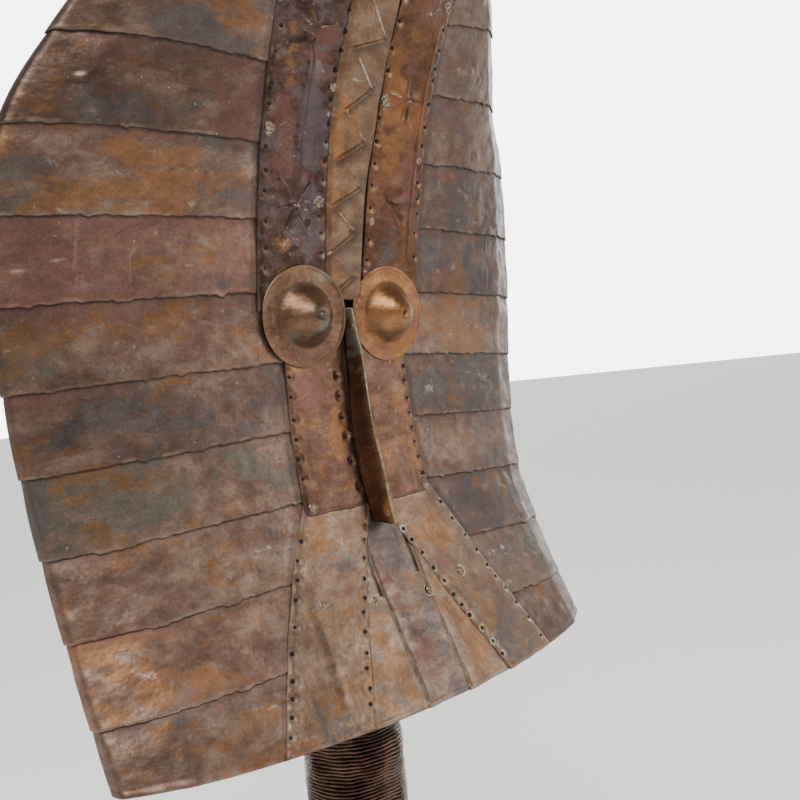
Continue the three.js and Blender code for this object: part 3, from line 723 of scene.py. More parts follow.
def wing_sheet(label, number, low_level, high_level):
    side = SIDES[label]
    seed = 100 * number + (7 if side > 0 else 0)
    share, wrap, r = WING_SHARES, WING_WRAPS, WING_ROWS

    def low(x):
        return hem(x) if number == 1 else seam_height(low_level, x) + torn(x, seed)

    def high(x):
        return WING_TOP + 0 * x if number == WING_COUNT else seam_height(high_level, x) + WING_LAP

    # The face narrows upwards and the seams slant, so each place is found in a few rounds
    h = (low_level + high_level) / 2 + 0 * (r + share)
    for _ in range(4):
        away = share * half_width(np.minimum(h, WING_TOP))
        h = np.minimum(low(away) + (high(away) - low(away)) * r, WING_TOP)
    x = side * away
    above_edge = h - low(away)
    below_seam = seam_height(high_level, away) + torn(away, seed + 100) - h
    from_seam = np.maximum(below_seam, 0)
    outside_bands = away - band_outer(h)
    free = between(outside_bands, -1, 3)

    # Hammer waves, dents, creases, and a lower edge that curls off the sheet below
    open_part = between(above_edge, 1.5, 6) * between(below_seam, 0, 4) * free
    relief = 0.4 * lumps(0.7 * x, h, 15, seed + 4) + 0.22 * lumps(x, 1.3 * h, 6.5, seed + 5)
    dents = wing_dents(side, number, low_level, high_level, seed)
    for cx, ch, size in dents:
        relief = relief - 0.3 * bump(x - cx, size) * bump(h - ch - 1.1, 0.9)
        relief = relief + 0.5 * bump(x - cx, size) * bump(h - ch + 0.9, 1.2)
    for cx, ch, height in WING_CREASES[label]:
        if low_level < ch < high_level:
            line = x - cx - 0.06 * (h - ch) + 0.9 * lumps(h, 0, 5, seed + cx + 300)
            broken = between(lumps(h, 0, 6, seed + cx + 400), -0.3, 0.3)
            relief = relief + height * bump(line, 0.8) * broken
    curl = 0.06 + 0.2 * lumps(away, 0, 12, seed + 3) + 0.12 * lumps(away, 0, 4, seed + 6)
    relief = relief * open_part + curl * bump(above_edge, 2.2) * free
    if number == 1:
        relief = relief + (0.3 * bump(above_edge - 0.9, 0.9) - 0.2 * bump(above_edge - 2.8, 0.7)) * free

    offset = GAP + WING_LIFT * (1 - r ** 3) + SHEET
    grid = wing_places(side, share, wrap, h, offset + relief, offset + np.minimum(0.4 * relief, 0) - 0.4)
    for column, reach, times in SOFTENED:
        for _ in range(times):
            wide = grid[:, column - reach - 1:column + reach + 2]
            grid[:, column - reach:column + reach + 1] = (wide[:, :-2] + 2 * wide[:, 1:-1] + wide[:, 2:]) / 4

    def on_this_sheet(cx, ch):
        return cx * side > 0 and seam_height(low_level, abs(cx)) <= ch < seam_height(high_level, abs(cx))

    spots = {kind: [spot for spot in known if on_this_sheet(*spot[:2])]
             for kind, known in WING_SPOTS.items()}
    tone, *shares = WING_FINISH[label][number - 1]
    masks = coverage(x, h, shares, spots, seed)
    bevel = between(share, CREASE - 0.004, CREASE + 0.006) * free
    masks[1] = np.clip(masks[1] + 0.12 * bevel + 0.3 * bump(above_edge, 2) * lumps(x, 0, 12, seed + 9), 0, 1)
    # More plum under the seam above: patina, with painted shade under the lapped edge
    masks[2] = np.clip(masks[2] + 0.3 * bump(from_seam, 5), 0, 1)

    # Dirt and painted shadow under the edge of the sheet above and along this sheet's torn edge,
    # painted shadow beside the bands, dirt in patches at the rim, and bright metal at the torn edge
    seam = bump(from_seam, 0.55 + 0.25 * lumps(away, 0, 8, seed + 11))
    beside_band = bump(np.maximum(outside_bands, 0), 0.5 + 0.3 * lumps(0, h, 14, seed + 12))
    at_rim = between(share, 0.992, 1) * between(lumps(h, 0, 6, seed + 14), -0.6, 0.4)
    dirt_and_shade = 0.2
    if number < WING_COUNT:
        dirt_and_shade = np.maximum.reduce([0.95 * seam, 0.35 * beside_band, 0.24 * bump(from_seam, 3.2),
                                   0.25 * bump(above_edge, 0.4), 0.5 * at_rim])
    dirt_and_shade = np.where(wrap > 0, 0.12, dirt_and_shade)
    ragged = between(lumps(away, 0, 5, seed + 13), 0.1, 0.5)
    rubbed_and_lit = 0.6 * bump(above_edge - 0.5, 0.5) * ragged
    # Painted highlights on the dents
    for cx, ch, size in dents:
        rubbed_and_lit = np.maximum(rubbed_and_lit, 0.5 * bump(x - cx, 0.8 * size) * bump(h - ch, 0.9))
    # The bevel at the crease is painted darker, a painted shade that damps the light it catches
    tone = np.clip(tone + 0.09 * lumps(x, h, 34, seed + 10) - 0.14 * bevel, 0, 1)
    name = f"{label}_wing_sheet_{number:02d}"
    obj = sheet_object(f"{name}_beaten", grid, painted(masks, dirt_and_shade, np.clip(rubbed_and_lit, 0, 0.9), tone))
    finished(obj, name, COPPER["wing"])


def wing_sheets():
    for label in SIDES:
        for number in range(1, WING_COUNT + 1):
            low_level = FIRST_SEAM[label] + (number - 2) * WING_PITCH
            wing_sheet(label, number, low_level, low_level + WING_PITCH)


# Slotted screws as they stand on the face; their heights are found while the bands are made
SCREWS = [(-46, 239), (-16.5, 256), (-18, 211), (15.5, 254), (14, 205), (44, 233), (46, 295), (-35, 85),
          (-45, 47), (-18, 43), (14, 41), (39, 44), (35, 84)]
# The two at the lower right of the chin have the most dust round them
DUSTY_SCREWS = ((14, 41), (39, 44))
screw_heights = {}
nail_heads = []


def nail_line(x_at, low, high, seed, spacing):
    """Nails up a line, unevenly spaced and not quite straight."""
    random = np.random.default_rng(seed)
    nails = []
    h = low + random.uniform(2, 5)
    while h < high - 2.5:
        x = float(x_at(h)) + random.uniform(-0.5, 0.5)
        if all(math.hypot(x - sx, h - sh) > 4 for sx, sh in SCREWS):
            nails.append((x, h))
        h += spacing * random.uniform(0.75, 1.25)
    return nails


# Bands

# Distance between grid lines
BAND_PITCH = 0.62
ZIGZAG_PITCH = 0.5
CHIN_PITCH = 0.66


def plate_grid(low, high, left, right, seed, pitch=BAND_PITCH, hem_line=None):
    """Rows up a band and columns across it, with edges that are not quite straight."""
    widest = float(np.max(right(np.linspace(low, high, 9)) - left(np.linspace(low, high, 9))))
    r = np.linspace(0, 1, int((high - low) / pitch) + 1)[:, None]
    c = np.linspace(0, 1, int(widest / pitch) + 1)[None, :]
    level = low + (high - low) * r + 0 * c
    x = left(level) + (right(level) - left(level)) * c
    x = x + 0.28 * (c * lumps(level, 0, 9, seed) + (1 - c) * lumps(level, 0, 7, seed + 1))
    if hem_line is None:
        h = level + 0.35 * (1 - r) * lumps(x, 0, 6, seed + 2) + 0.35 * r * lumps(x, 0, 6, seed + 3)
    else:
        h = level + (hem_line(x) + 0.2 * lumps(x, 0, 7, seed + 2)) * (1 - r) ** 6
    return x, h


def mirrored(side, inner, outer):
    """Left and right edge of a band on one side of the face, from its inner and outer one."""
    first, last = (inner, outer) if side > 0 else (outer, inner)
    return lambda h: side * first(h), lambda h: side * last(h)


def edge_distance(grid):
    """Distance in millimetres of each grid point from the nearest border, along its row or column."""
    distances = []
    for axis in (0, 1):
        steps = np.linalg.norm(np.diff(grid, axis=axis), axis=2)
        run = np.insert(np.cumsum(steps, axis=axis), 0, 0, axis=axis)
        distances += [run, np.take(run, [-1], axis=axis) - run]
    return np.minimum.reduce(distances)


def leaning(inner, outer, high, low):
    """Height over the wood of a band that leans from its inner edge, on its neighbour, to its outer one."""
    def lift(x, h):
        outward = np.clip((np.abs(x) - inner(h)) / (outer(h) - inner(h)), 0, 1)
        return high + (low - high) * outward
    return lift


def band(name, copper, place, lift, relief, nails, seed, finish, spots, dirt_and_shade=0, dust_and_sheen=0,
         dusty_nails=False, edge_dirt_and_shade=0.8):
    """A nailed band from its grid, its height over the wood and what is beaten into it.
    finish is its tone, then its shares of slate, orange, plum, pale and olive."""
    x, h = place
    tone, *shares = finish
    masks = coverage(x, h, shares, spots, seed)
    masks[3] = np.maximum(masks[3], dust_and_sheen)
    random = np.random.default_rng(seed + 20)
    rubbed_and_lit = 0 * x
    for nx, nh in nails:
        depth, wide = random.uniform(0.5, 0.85), random.uniform(1.4, 2)
        away = np.hypot(x - nx, h - nh)
        relief = relief - depth * bump(away, wide) + 0.14 * bump(away - 2.8, 0.8)
        # A painted highlight on the lower right of each nail's dimple
        rubbed_and_lit = np.maximum(rubbed_and_lit, 0.95 * bump(np.hypot(x - nx - 0.9, h - nh + 1.4), 1.2))
        if dusty_nails:
            masks[3] = np.maximum(masks[3], 1.5 * bump(away - 1.5, 0.5))
        nail_heads.append((nx, nh, float(lift(nx, nh)) + SHEET - 0.8 * depth))
    for sx, sh in SCREWS:
        away = np.hypot(x - sx, h - sh)
        if away.min() < 1:
            dusty = 1.5 if (sx, sh) in DUSTY_SCREWS else 0.7
            relief = relief - 0.3 * bump(away, 2.8)
            masks[3] = np.maximum(masks[3], dusty * bump(away - 2.4, 0.4))
            height = float(lift(sx, sh)) + SHEET - 0.25
            screw_heights[sx, sh] = max(height, screw_heights.get((sx, sh), 0))
    waves = 0.12 * lumps(x, h, 7, seed + 11) + 0.22 * lumps(x, h, 19, seed + 12)
    border = edge_distance(points(x, 0 * x, h))
    offset = lift(x, h) + SHEET + relief + waves - 0.7 * bump(border, 1.3)
    grid = over_front(x, np.maximum(h, -CHIN_HEM), np.maximum(offset, GAP + WING_LIFT + SHEET + 0.12))
    patchy = between(lumps(x, h, 5, seed + 14), -0.1, 0.5)
    rubbed_and_lit = np.maximum(rubbed_and_lit, 0.4 * bump(border - 0.7, 0.5) * patchy)
    # Edges painted darker: dirt, and painted shade where the band steps down onto the sheet below
    dirt_and_shade = np.maximum(dirt_and_shade, edge_dirt_and_shade * bump(border, 0.6))
    shade = np.clip(tone + 0.1 * lumps(x, h, 24, seed + 13), 0, 1)
    paint = painted([np.clip(mask, 0, 1) for mask in masks], np.clip(dirt_and_shade, 0, 1), rubbed_and_lit, shade)
    finished(sheet_object(f"{name}_beaten", grid, paint), name, COPPER[copper])


def segment_distance(x, h, start, end):
    """Distance to a straight stroke, and to its left (positive) or right, for each point."""
    ax, ah = start
    bx, bh = end
    length = math.hypot(bx - ax, bh - ah)
    ux, uh = (bx - ax) / length, (bh - ah) / length
    t = np.clip((x - ax) * ux + (h - ah) * uh, 0, length)
    dx, dh = x - ax - t * ux, h - ah - t * uh
    return np.hypot(dx, dh), ux * dh - uh * dx


def star(x, h, cx, ch, arms, petals):
    """A star beaten into a band: thin ridges that run out from its middle, and pressed petals between them.
    An arm is (direction, length), a petal (direction, length, half width, depth). Also gives the
    lighter lines along the arms: dust and painted highlight."""
    relief = 0.8 * bump(np.hypot(x - cx, h - ch), 7)
    dust_and_sheen = 0 * x
    for direction, length in arms:
        angle = math.radians(direction)
        tip = (cx + length * math.cos(angle), ch + length * math.sin(angle))
        away, _ = segment_distance(x, h, (cx, ch), tip)
        relief = relief + 0.7 * bump(away, 0.6)
        # The arms are painted lighter: dust and painted highlight on the ridges
        dust_and_sheen = np.maximum(dust_and_sheen, 0.6 * bump(away, 0.5))
    for direction, length, wide, depth in petals:
        ux, uh = math.cos(math.radians(direction)), math.sin(math.radians(direction))
        along = (x - cx) * ux + (h - ch) * uh - 0.6 * length
        across = (x - cx) * -uh + (h - ch) * ux
        relief = relief - 1.2 * depth * bump(along, 0.46 * length) * bump(across, 1.3 * wide)
    return relief, dust_and_sheen


STARS = {
    "left": [
        (-31, 209, [(130, 13), (-10, 14), (-55, 14), (185, 8), (-115, 9), (52, 13)],
         [(-32, 12, 2.6, 1.0), (20, 9, 2.8, 0.6), (160, 7, 2.2, 0.7), (-86, 11, 2.8, 0.7)]),
        (-30, 276, [(10, 10), (115, 9), (-100, 9), (160, 8)],
         [(-55, 12, 3.4, 1.5), (58, 9, 2.6, 0.9), (190, 9, 2.4, 0.9), (-150, 8, 2.0, 0.6)]),
        (-28, 325, [(45, 9), (135, 9), (-45, 9), (-135, 9)],
         [(0, 8, 2, 0.8), (90, 8, 2, 0.8), (180, 8, 2, 0.8)]),
    ],
    "right": [
        (28, 212, [(10, 10), (-22, 12), (-50, 10), (170, 6), (110, 8)],
         [(130, 7, 2.0, 1.2), (-36, 10, 2.4, 1.1), (60, 7, 2.2, 0.5)]),
        (29, 256, [(0, 9), (90, 8), (170, 11), (-100, 8)],
         [(40, 11, 2.4, 1.0), (-62, 9, 2.0, 1.2), (-140, 8, 2.4, 0.5)]),
        (28, 322, [(45, 9), (135, 9), (-45, 9), (-135, 9)],
         [(0, 8, 2, 0.8), (-90, 8, 2, 0.8), (180, 8, 2, 0.8)]),
    ],
}
# Nails as they stand up to the height where the view ends
FOREHEAD_NAILS = {
    "left": [(-14.7, 284.2), (-14.4, 276.8), (-14.6, 269.9), (-15.9, 262.6), (-16.4, 251.6), (-15.9, 242.4),
             (-16.5, 235.4), (-16.1, 227.8), (-16.6, 220.4), (-17.2, 206.1), (-15.7, 199), (-15.3, 190.9),
             (-45.3, 275.1), (-46.2, 266.2), (-46.1, 255.1), (-46.6, 247.4), (-46.5, 231.6), (-46.1, 222.6),
             (-46.1, 215), (-45, 203.1), (-44.7, 192.6), (-45.3, 184.6)],
    "right": [(15.2, 285.1), (14.5, 274.8), (14.9, 266.4), (13.6, 247.8), (13.9, 238.3), (13.9, 229.2),
              (13.4, 220.1), (13.2, 210.6), (13.2, 197), (12.4, 188.2), (46.9, 279.3), (47, 272),
              (47, 267.2), (47, 257.4), (46.8, 247.6), (46.3, 239.6), (45.4, 223.6), (45.7, 216.4),
              (46.9, 209.9), (45.7, 201.1), (45.9, 190.4)],
}
FOREHEAD_SPOTS = {
    "left": {
        "orange": [(-39, 262, 6, 14), (-22, 262, 5, 8), (-33, 305, 9, 14)],
        "slate": [(-25, 240, 5, 30), (-24, 244, 5, 20), (-22, 200, 8, 14)],
        "plum": [(-40, 228, 6, 24), (-38, 240, 4, 12), (-24, 268, 5, 8)],
        "olive": [(-42, 270, 5, 8)],
        "pale": [(-19, 209, 2, 4)],
    },
    "right": {
        "orange": [(24, 234, 7, 18), (20, 262, 4, 12)],
        "slate": [(33, 268, 4, 10), (24, 195, 10, 9)],
        "pale": [(16, 206, 3, 5)],
        "olive": [(36, 261, 4, 4)],
        "plum": [(36, 206, 5, 6), (38, 230, 5, 14), (30, 292, 8, 14)],
    },
}
# Bare half width of the zigzag strip up the face, on both sides of the centre line
STRIP_EDGES = {label: curve_through(knots, FACE_HEIGHT, 1) for label, knots in {
    "left": [(0.43, 12.4), (0.5, 13), (0.55, 13.9), (0.6, 15), (0.69, 14.8), (0.8, 13.4), (1, 13)],
    "right": [(0.43, 9), (0.5, 9.8), (0.585, 10.6), (0.63, 12.5), (0.7, 12.9), (0.8, 12.4), (1, 12)],
}.items()}


def forehead_band(label, copper, finish):
    side = SIDES[label]
    seed = 900 + 50 * side

    def inner(h):
        """Where the band starts, beside the zigzag strip."""
        return np.minimum(STRIP_EDGES[label](h), crease_line(h) - BAND_LEAST)

    lift = leaning(inner, forehead_outer, LAYER_TWO, LAYER_ONE)
    x, h = plate_grid(FOREHEAD_FOOT, FOREHEAD_TOP, *mirrored(side, inner, forehead_outer), seed)
    nails = FOREHEAD_NAILS[label]
    nails = nails + nail_line(lambda v: side * (forehead_outer(v) - 2.3), 283, FOREHEAD_TOP, seed + 1, 8)
    nails = nails + nail_line(lambda v: side * (inner(v) + 2.1), 291, FOREHEAD_TOP, seed + 2, 8.2)
    relief = 0.5 * bump(np.abs(x) - inner(h), 3) * (0.6 + 0.6 * lumps(h, 0, 20, seed + 6))
    dust_and_sheen = 0 * x
    for motif in STARS[label]:
        beaten, ridges = star(x, h, *motif)
        relief, dust_and_sheen = relief + beaten, np.maximum(dust_and_sheen, ridges)
    slit = 0
    if side > 0:
        line = 41 + 0.02 * (h - 230) + 0.8 * lumps(h, 0, 30, seed + 3)
        relief = relief + 0.9 * bump(x - line, 1.0) * between(np.abs(h - 238), 56, 40)
        relief = relief + 0.5 * bump(x - 37 - 0.04 * (h - 280), 1.2) * between(np.abs(h - 288), 22, 12)
    else:
        fold = x + 30.5 - 0.05 * (h - 240) + 0.8 * lumps(h, 0, 16, seed + 4)
        folded = bump(fold, 1.6) - 1.6 * bump(fold - 7, 5)
        relief = relief + 0.55 * folded * between(np.abs(h - 243), 32, 16)
        dash, _ = segment_distance(x, h, (-41, 270.5), (-36.5, 271.5))
        relief = relief - 0.8 * bump(dash, 0.8)
        # The dash is painted dark: painted shade in the pressed slit
        slit = bump(dash, 0.55)
    band(f"{label}_forehead_band", copper, (x, h), lift, relief, nails, seed, finish,
         FOREHEAD_SPOTS[label], slit, dust_and_sheen)


# Corners of the zigzag, from the eyes up, left and right in turn
ZIGZAG = [(-12.6, 171), (3.4, 181), (-12.1, 189.6), (3.6, 199.6), (-10.7, 210), (5.2, 218), (-9.7, 228.8),
          (5.1, 236.6), (-8.8, 247.8), (5.3, 257.4), (-9.1, 270.8), (8.0, 276.4), (-6.4, 291), (6.4, 299),
          (-7, 310.5), (6, 319), (-6.4, 329.5), (5.4, 338), (-5.4, 348), (4.4, 356), (-4, 364), (3.4, 371)]


def zigzag_strip():
    def edge(label, h):
        return np.minimum(STRIP_EDGES[label](h) + BAND_TUCK, crease_line(h))

    x, h = plate_grid(ZIGZAG_FOOT, ZIGZAG_TOP, lambda v: -edge("left", v), lambda v: edge("right", v),
                      1200, ZIGZAG_PITCH)
    relief, dust_and_sheen, dark = 0 * x, 0 * x, 0 * x
    for below, corner, above in zip(ZIGZAG, ZIGZAG[1:], ZIGZAG[2:]):
        stroke, beside = segment_distance(x, h, below, corner)
        if corner[0] > 0:
            relief = np.maximum(relief, 0.9 * bump(stroke, 0.8))
            # Painted shade under each rising stroke, in the dimple at its right corner and over the field
            # below
            for darkness, near in (
                    (0.6, bump(stroke, 3) * between(-beside, 0, 0.6)),
                    (0.85, bump(np.hypot(x - corner[0] + 1, h - corner[1]), 1.6)),
                    (0.4, bump(np.hypot(x - corner[0] - 1, h - corner[1] - 3), 4))):
                dark = np.maximum(dark, darkness * near)
        else:
            # The field right of each left corner is pressed in, deepest at its lowest corner
            relief = np.maximum(relief, 0.7 * bump(stroke, 0.8))
            # Light lines along the falling strokes: dust and painted highlight on the ridges
            dust_and_sheen = np.maximum(dust_and_sheen, (0.9 + 0.5 * lumps(h, 0, 5, 1210)) * bump(stroke, 0.5))
            _, over_low = segment_distance(x, h, corner, below)
            stroke, over_high = segment_distance(x, h, corner, above)
            _, over_open = segment_distance(x, h, above, below)
            inside = np.minimum(between(over_low, -0.2, 1.5), between(-over_high, -0.2, 1.5))
            inside = np.minimum(inside, between(-over_open, -2.5, 1.5))
            depth = 0.9 + 1.0 * bump(stroke, 4.5) + 0.5 * bump(np.hypot(x - below[0], h - below[1]), 5)
            relief = relief - depth * inside
    bare = np.minimum(x + STRIP_EDGES["left"](h), STRIP_EDGES["right"](h) - x)
    relief = (relief * between(bare, 0, 1) + 1.8 * between(bare, -0.5, 2.5)) * between(ZIGZAG_TOP - h, 4, 60)
    spots = {"orange": [(-11, 232, 3, 34)], "slate": [(0, 330, 6, 20)], "olive": [(0, 186, 8, 8)],
             "plum": [(4, 262, 4, 8)]}
    band("zigzag_strip", "golden", (x, h), lambda x, h: LAYER_ONE - 0.3 + 0 * x,
         relief, [], 1200, (0.53, 0.16, 0.34, 0.14, 0.04, 0.14), spots, dark, dust_and_sheen)


CHEEK_SPOTS = {
    "left": {
        "orange": [(-12, 105, 5, 36)],
        "olive": [(-9, 92, 3, 4)],
        "plum": [(-26, 130, 8, 22)],
        "pale": [(-33, 120, 3, 8)],
    },
    "right": {
        "pale": [(33, 112, 2, 22)],
        "orange": [(14, 96, 6, 16)],
        "plum": [(20, 140, 10, 12)],
        "olive": [(27, 132, 5, 12)],
    },
}


def cheek_band(label, finish):
    side = SIDES[label]
    seed = 1400 + 50 * side

    def inner(h):
        return UNDER_NOSE + 0 * h

    over = leaning(inner, cheek_outer, LAYER_THREE, LAYER_TWO)

    def lift(x, h):
        """The band climbs down to the lowest layer over its first third."""
        climbed = np.clip(3 * (h - CHEEK_FOOT) / (CHEEK_TOP - CHEEK_FOOT), 0, 1)
        return over(x, h) + (LAYER_ONE - over(x, h)) * climbed

    x, h = plate_grid(CHEEK_FOOT, CHEEK_TOP, *mirrored(side, inner, cheek_outer), seed)
    low = CHEEK_FOOT + 4
    nails = nail_line(lambda v: side * (cheek_outer(v) - 2.1), low, CHEEK_TOP - 8, seed + 1, 8)
    if side < 0:
        nails += nail_line(lambda v: -7.6 - 0.02 * (v - CHEEK_FOOT), low, CHEEK_TOP - 16, seed + 2, 9.4)
    relief = 0.35 * bump(np.abs(x) - cheek_outer(h), 4) * lumps(h, 0, 9, seed + 3)
    band(f"{label}_cheek_band", "russet", (x, h), lift, relief, nails, seed, finish,
         CHEEK_SPOTS[label])


def hem(x):
    return chin_edge(x) - CHIN_HEM


def hem_bead(x, h):
    """The lower edge is folded to a rounded hem."""
    above = h - hem(x)
    return 0.4 * bump(above - 0.9, 0.9) - 0.22 * bump(above - 2.8, 0.7)


CHIN_SPOTS = {
    "left": {
        "slate": [(-49, 33, 3, 12), (-26, 60, 5, 4), (-64, 8, 8, 8)],
        "pale": [(-49, 16, 2.5, 8)],
        "orange": [(-34, 66, 8, 10), (-34, 16, 12, 8)],
        "plum": [(-52, 44, 7, 18)],
        "olive": [(-24, 64, 8, 4)],
    },
    "right": {
        "slate": [(60, 18, 15, 15)],
        "pale": [(44, 36, 4, 3)],
        "orange": [(30, 66, 10, 10), (50, 26, 4, 2.5)],
        "plum": [(47, 50, 8, 7), (30, 52, 6, 8)],
    },
}


def chin_band(label, finish):
    side = SIDES[label]
    seed = 1600 + 50 * side
    lift = leaning(chin_inner, chin_outer, LAYER_TWO, LAYER_ONE)
    x, h = plate_grid(0, CHIN_BAND_TOP, *mirrored(side, chin_inner, chin_outer), seed, CHIN_PITCH, hem)
    nails = nail_line(lambda v: side * (chin_outer(v) - 2.1), 3, CHIN_BAND_TOP - 8, seed + 1, 7.6)
    nails += nail_line(lambda v: side * (chin_inner(v) + 2.4), 4, CHIN_BAND_TOP - 9, seed + 2, 6.4)
    relief = hem_bead(x, h)
    if side < 0:
        fold = x + 50 - 0.06 * (h - 30) + 0.6 * lumps(h, 0, 18, seed + 5)
        relief = relief + 0.45 * bump(fold, 2.2) * between(np.abs(h - 28), 24, 8)
    band(f"{label}_chin_band", "chin", (x, h), lift, relief, nails, seed, finish,
         CHIN_SPOTS[label], dusty_nails=side > 0)


FAN_SPOTS = {
    "left": {
        "orange": [(-22, 30, 7, 12), (-20, 10, 4, 10)],
        "slate": [(-34, 14, 8, 8)],
        "olive": [(-38, 28, 8, 10)],
    },
    "middle": {
        "slate": [(2, 54, 10, 22), (8, 14, 4, 14)],
        "plum": [(-6, 30, 8, 16), (4, 60, 8, 12)],
    },
    "right": {
        "orange": [(24, 32, 7, 18), (34, 12, 8, 10)],
    },
}


def fan_plate(part, top, left, right, lift, seed, finish):
    x, h = plate_grid(0, top, left, right, seed, CHIN_PITCH, hem)
    relief = 0.16 * lumps(x, h, 13, seed + 4) + hem_bead(x, h)
    band(f"chin_fan_{part}", "fan", (x, h), lift, relief, [], seed, finish, FAN_SPOTS[part],
         edge_dirt_and_shade=0.15)


def chin_fan():
    lap_top = 0.565 * CHIN_BAND_TOP
    lap_end = 0.7 * CHIN_BAND_TOP

    def edge(h):
        return chin_inner(h) + BAND_TUCK

    def over(seam):
        """A plate whose first few millimetres lie on the plate to its left."""
        def lift(x, h):
            first = between(x - seam, 14, 2) * np.clip((lap_end - h) / (lap_end - lap_top), 0, 1)
            return LAYER_ONE + (LAYER_TWO - LAYER_ONE) * first
        return lift

    fan_plate("left", 0.74 * CHIN_BAND_TOP, lambda h: -edge(h),
              lambda h: -np.where(h > 0.9 * lap_top, FAN_SEAM + GAP, FAN_SEAM - FAN_LAP),
              lambda x, h: LAYER_ONE + 0 * x, 1801, (0.53, 0.24, 0.4, 0.1, 0.05, 0.34))
    fan_plate("middle", 0.93 * CHIN_BAND_TOP, lambda h: -np.minimum(FAN_SEAM, edge(h)),
              lambda h: np.minimum(np.where(h > lap_top, FAN_SEAM - GAP, FAN_SEAM + FAN_LAP), edge(h)),
              over(-FAN_SEAM), 1811, (0.55, 0.5, 0.06, 0.4, 0.04, 0.1))
    fan_plate("right", 0.74 * CHIN_BAND_TOP, lambda h: FAN_SEAM + 0 * h, edge, over(FAN_SEAM), 1821,
              (0.62, 0.08, 0.5, 0.08, 0.05, 0.2))


# Nose

def nose_blade():
    r = np.linspace(0, 1, 141)[:, None]
    c = np.linspace(-1, 1, 33)[None, :]
    share = np.abs(c)
    grown = np.sqrt(1 - 0.93 * r)
    half = np.maximum(NOSE_HALF_WIDTH * (0.18 + 1.3 * grown * between(1 - r, 0, 0.55)), UNDER_NOSE + 0.7)
    base = LAYER_TWO + (LAYER_THREE + SHEET + GAP - LAYER_TWO) * (1 - np.clip((r - 0.1) / 0.35, 0, 1))
    climb = between(1 - share, -0.35, 0.66) ** 1.15
    across = np.sign(c) * np.where(share > 0.34, 0.14 + 0.86 * (share - 0.34) / 0.66, share * 0.14 / 0.34)
    swollen = NOSE_HEIGHT * grown + 0.6 + 3.6 * between(r, 0.02, 0.3) * between(1 - r, 0, 0.25)
    height = base + 0.5 + swollen * (climb - climb.min()) - 0.2 * (share < 0.34)
    uneven = 0.25 * bump(share, 0.4) * lumps(90 * r, 0, 12, 2103)
    height = height + 0.1 * lumps(140 * r, 8 * c, 9, 2102) + uneven
    h = NOSE_FOOT + (NOSE_TOP - 2 - NOSE_FOOT) * r - NOSE_DROOP * (1 - r) ** 4 * climb
    x = half * across + 0.3 * lumps(h, 0, 26, 2101) - 0.4 * (1 - share) * r
    grid = over_front(x, h, height)
    ridge = bump(share, 0.36) + 0 * h
    flank = 1 - ridge
    masks = coverage(x * 6, h, (0.05, 0.25, 0.1, 0.0, 0.1), {}, 2104)
    masks[1] = np.clip(masks[1] + 0.75 * flank * between(share, 0.75, 0.25) * between(r, 0.85, 0.3), 0, 1)
    masks[3] = 0.8 * ridge * between(r, 0.3, 0.7)
    masks[4] = 0.9 * between(r, 0.5, 0.8)
    dirt_and_shade = 0.45 * bump(1 - share, 0.3) * between(r, 0.0, 0.25)
    paint = painted(masks, dirt_and_shade, 0.5 * ridge, 0.42 + 0.12 * ridge)
    obj = sheet_object("nose_blade_folded", grid, paint, thickness=NOSE_SHEET)
    finished(obj, "nose_blade", COPPER["nose"])


# Eyes

def boss_height(radius):
    """Profile of an eye disc: an almost flat rim, then a bell-shaped boss that is a little pointed on top."""
    share = np.clip(radius / BOSS_RADIUS, 0, 1)
    rise = (1 - share ** 2) ** 1.15
    return BOSS_HEIGHT * (0.82 * rise + 0.18 * (1 - share))


def square_out(x, h):
    """The way straight out of the wood's front."""
    out = np.array([float(slope_x(front_y, x, h)), -1.0, float(slope_h(front_y, x, h))])
    return out / np.linalg.norm(out)


def disc_frame(centre_x):
    """Directions of an eye disc: across to the viewer's right, up the face, out of the disc."""
    out = square_out(centre_x, EYE_LEVEL) - np.array([math.sin(EYE_TURN), 0, 0])
    out = out / np.linalg.norm(out)
    across = np.cross([0, 0, 1], -out)
    across = across / np.linalg.norm(across)
    return across, np.cross(out, across), out


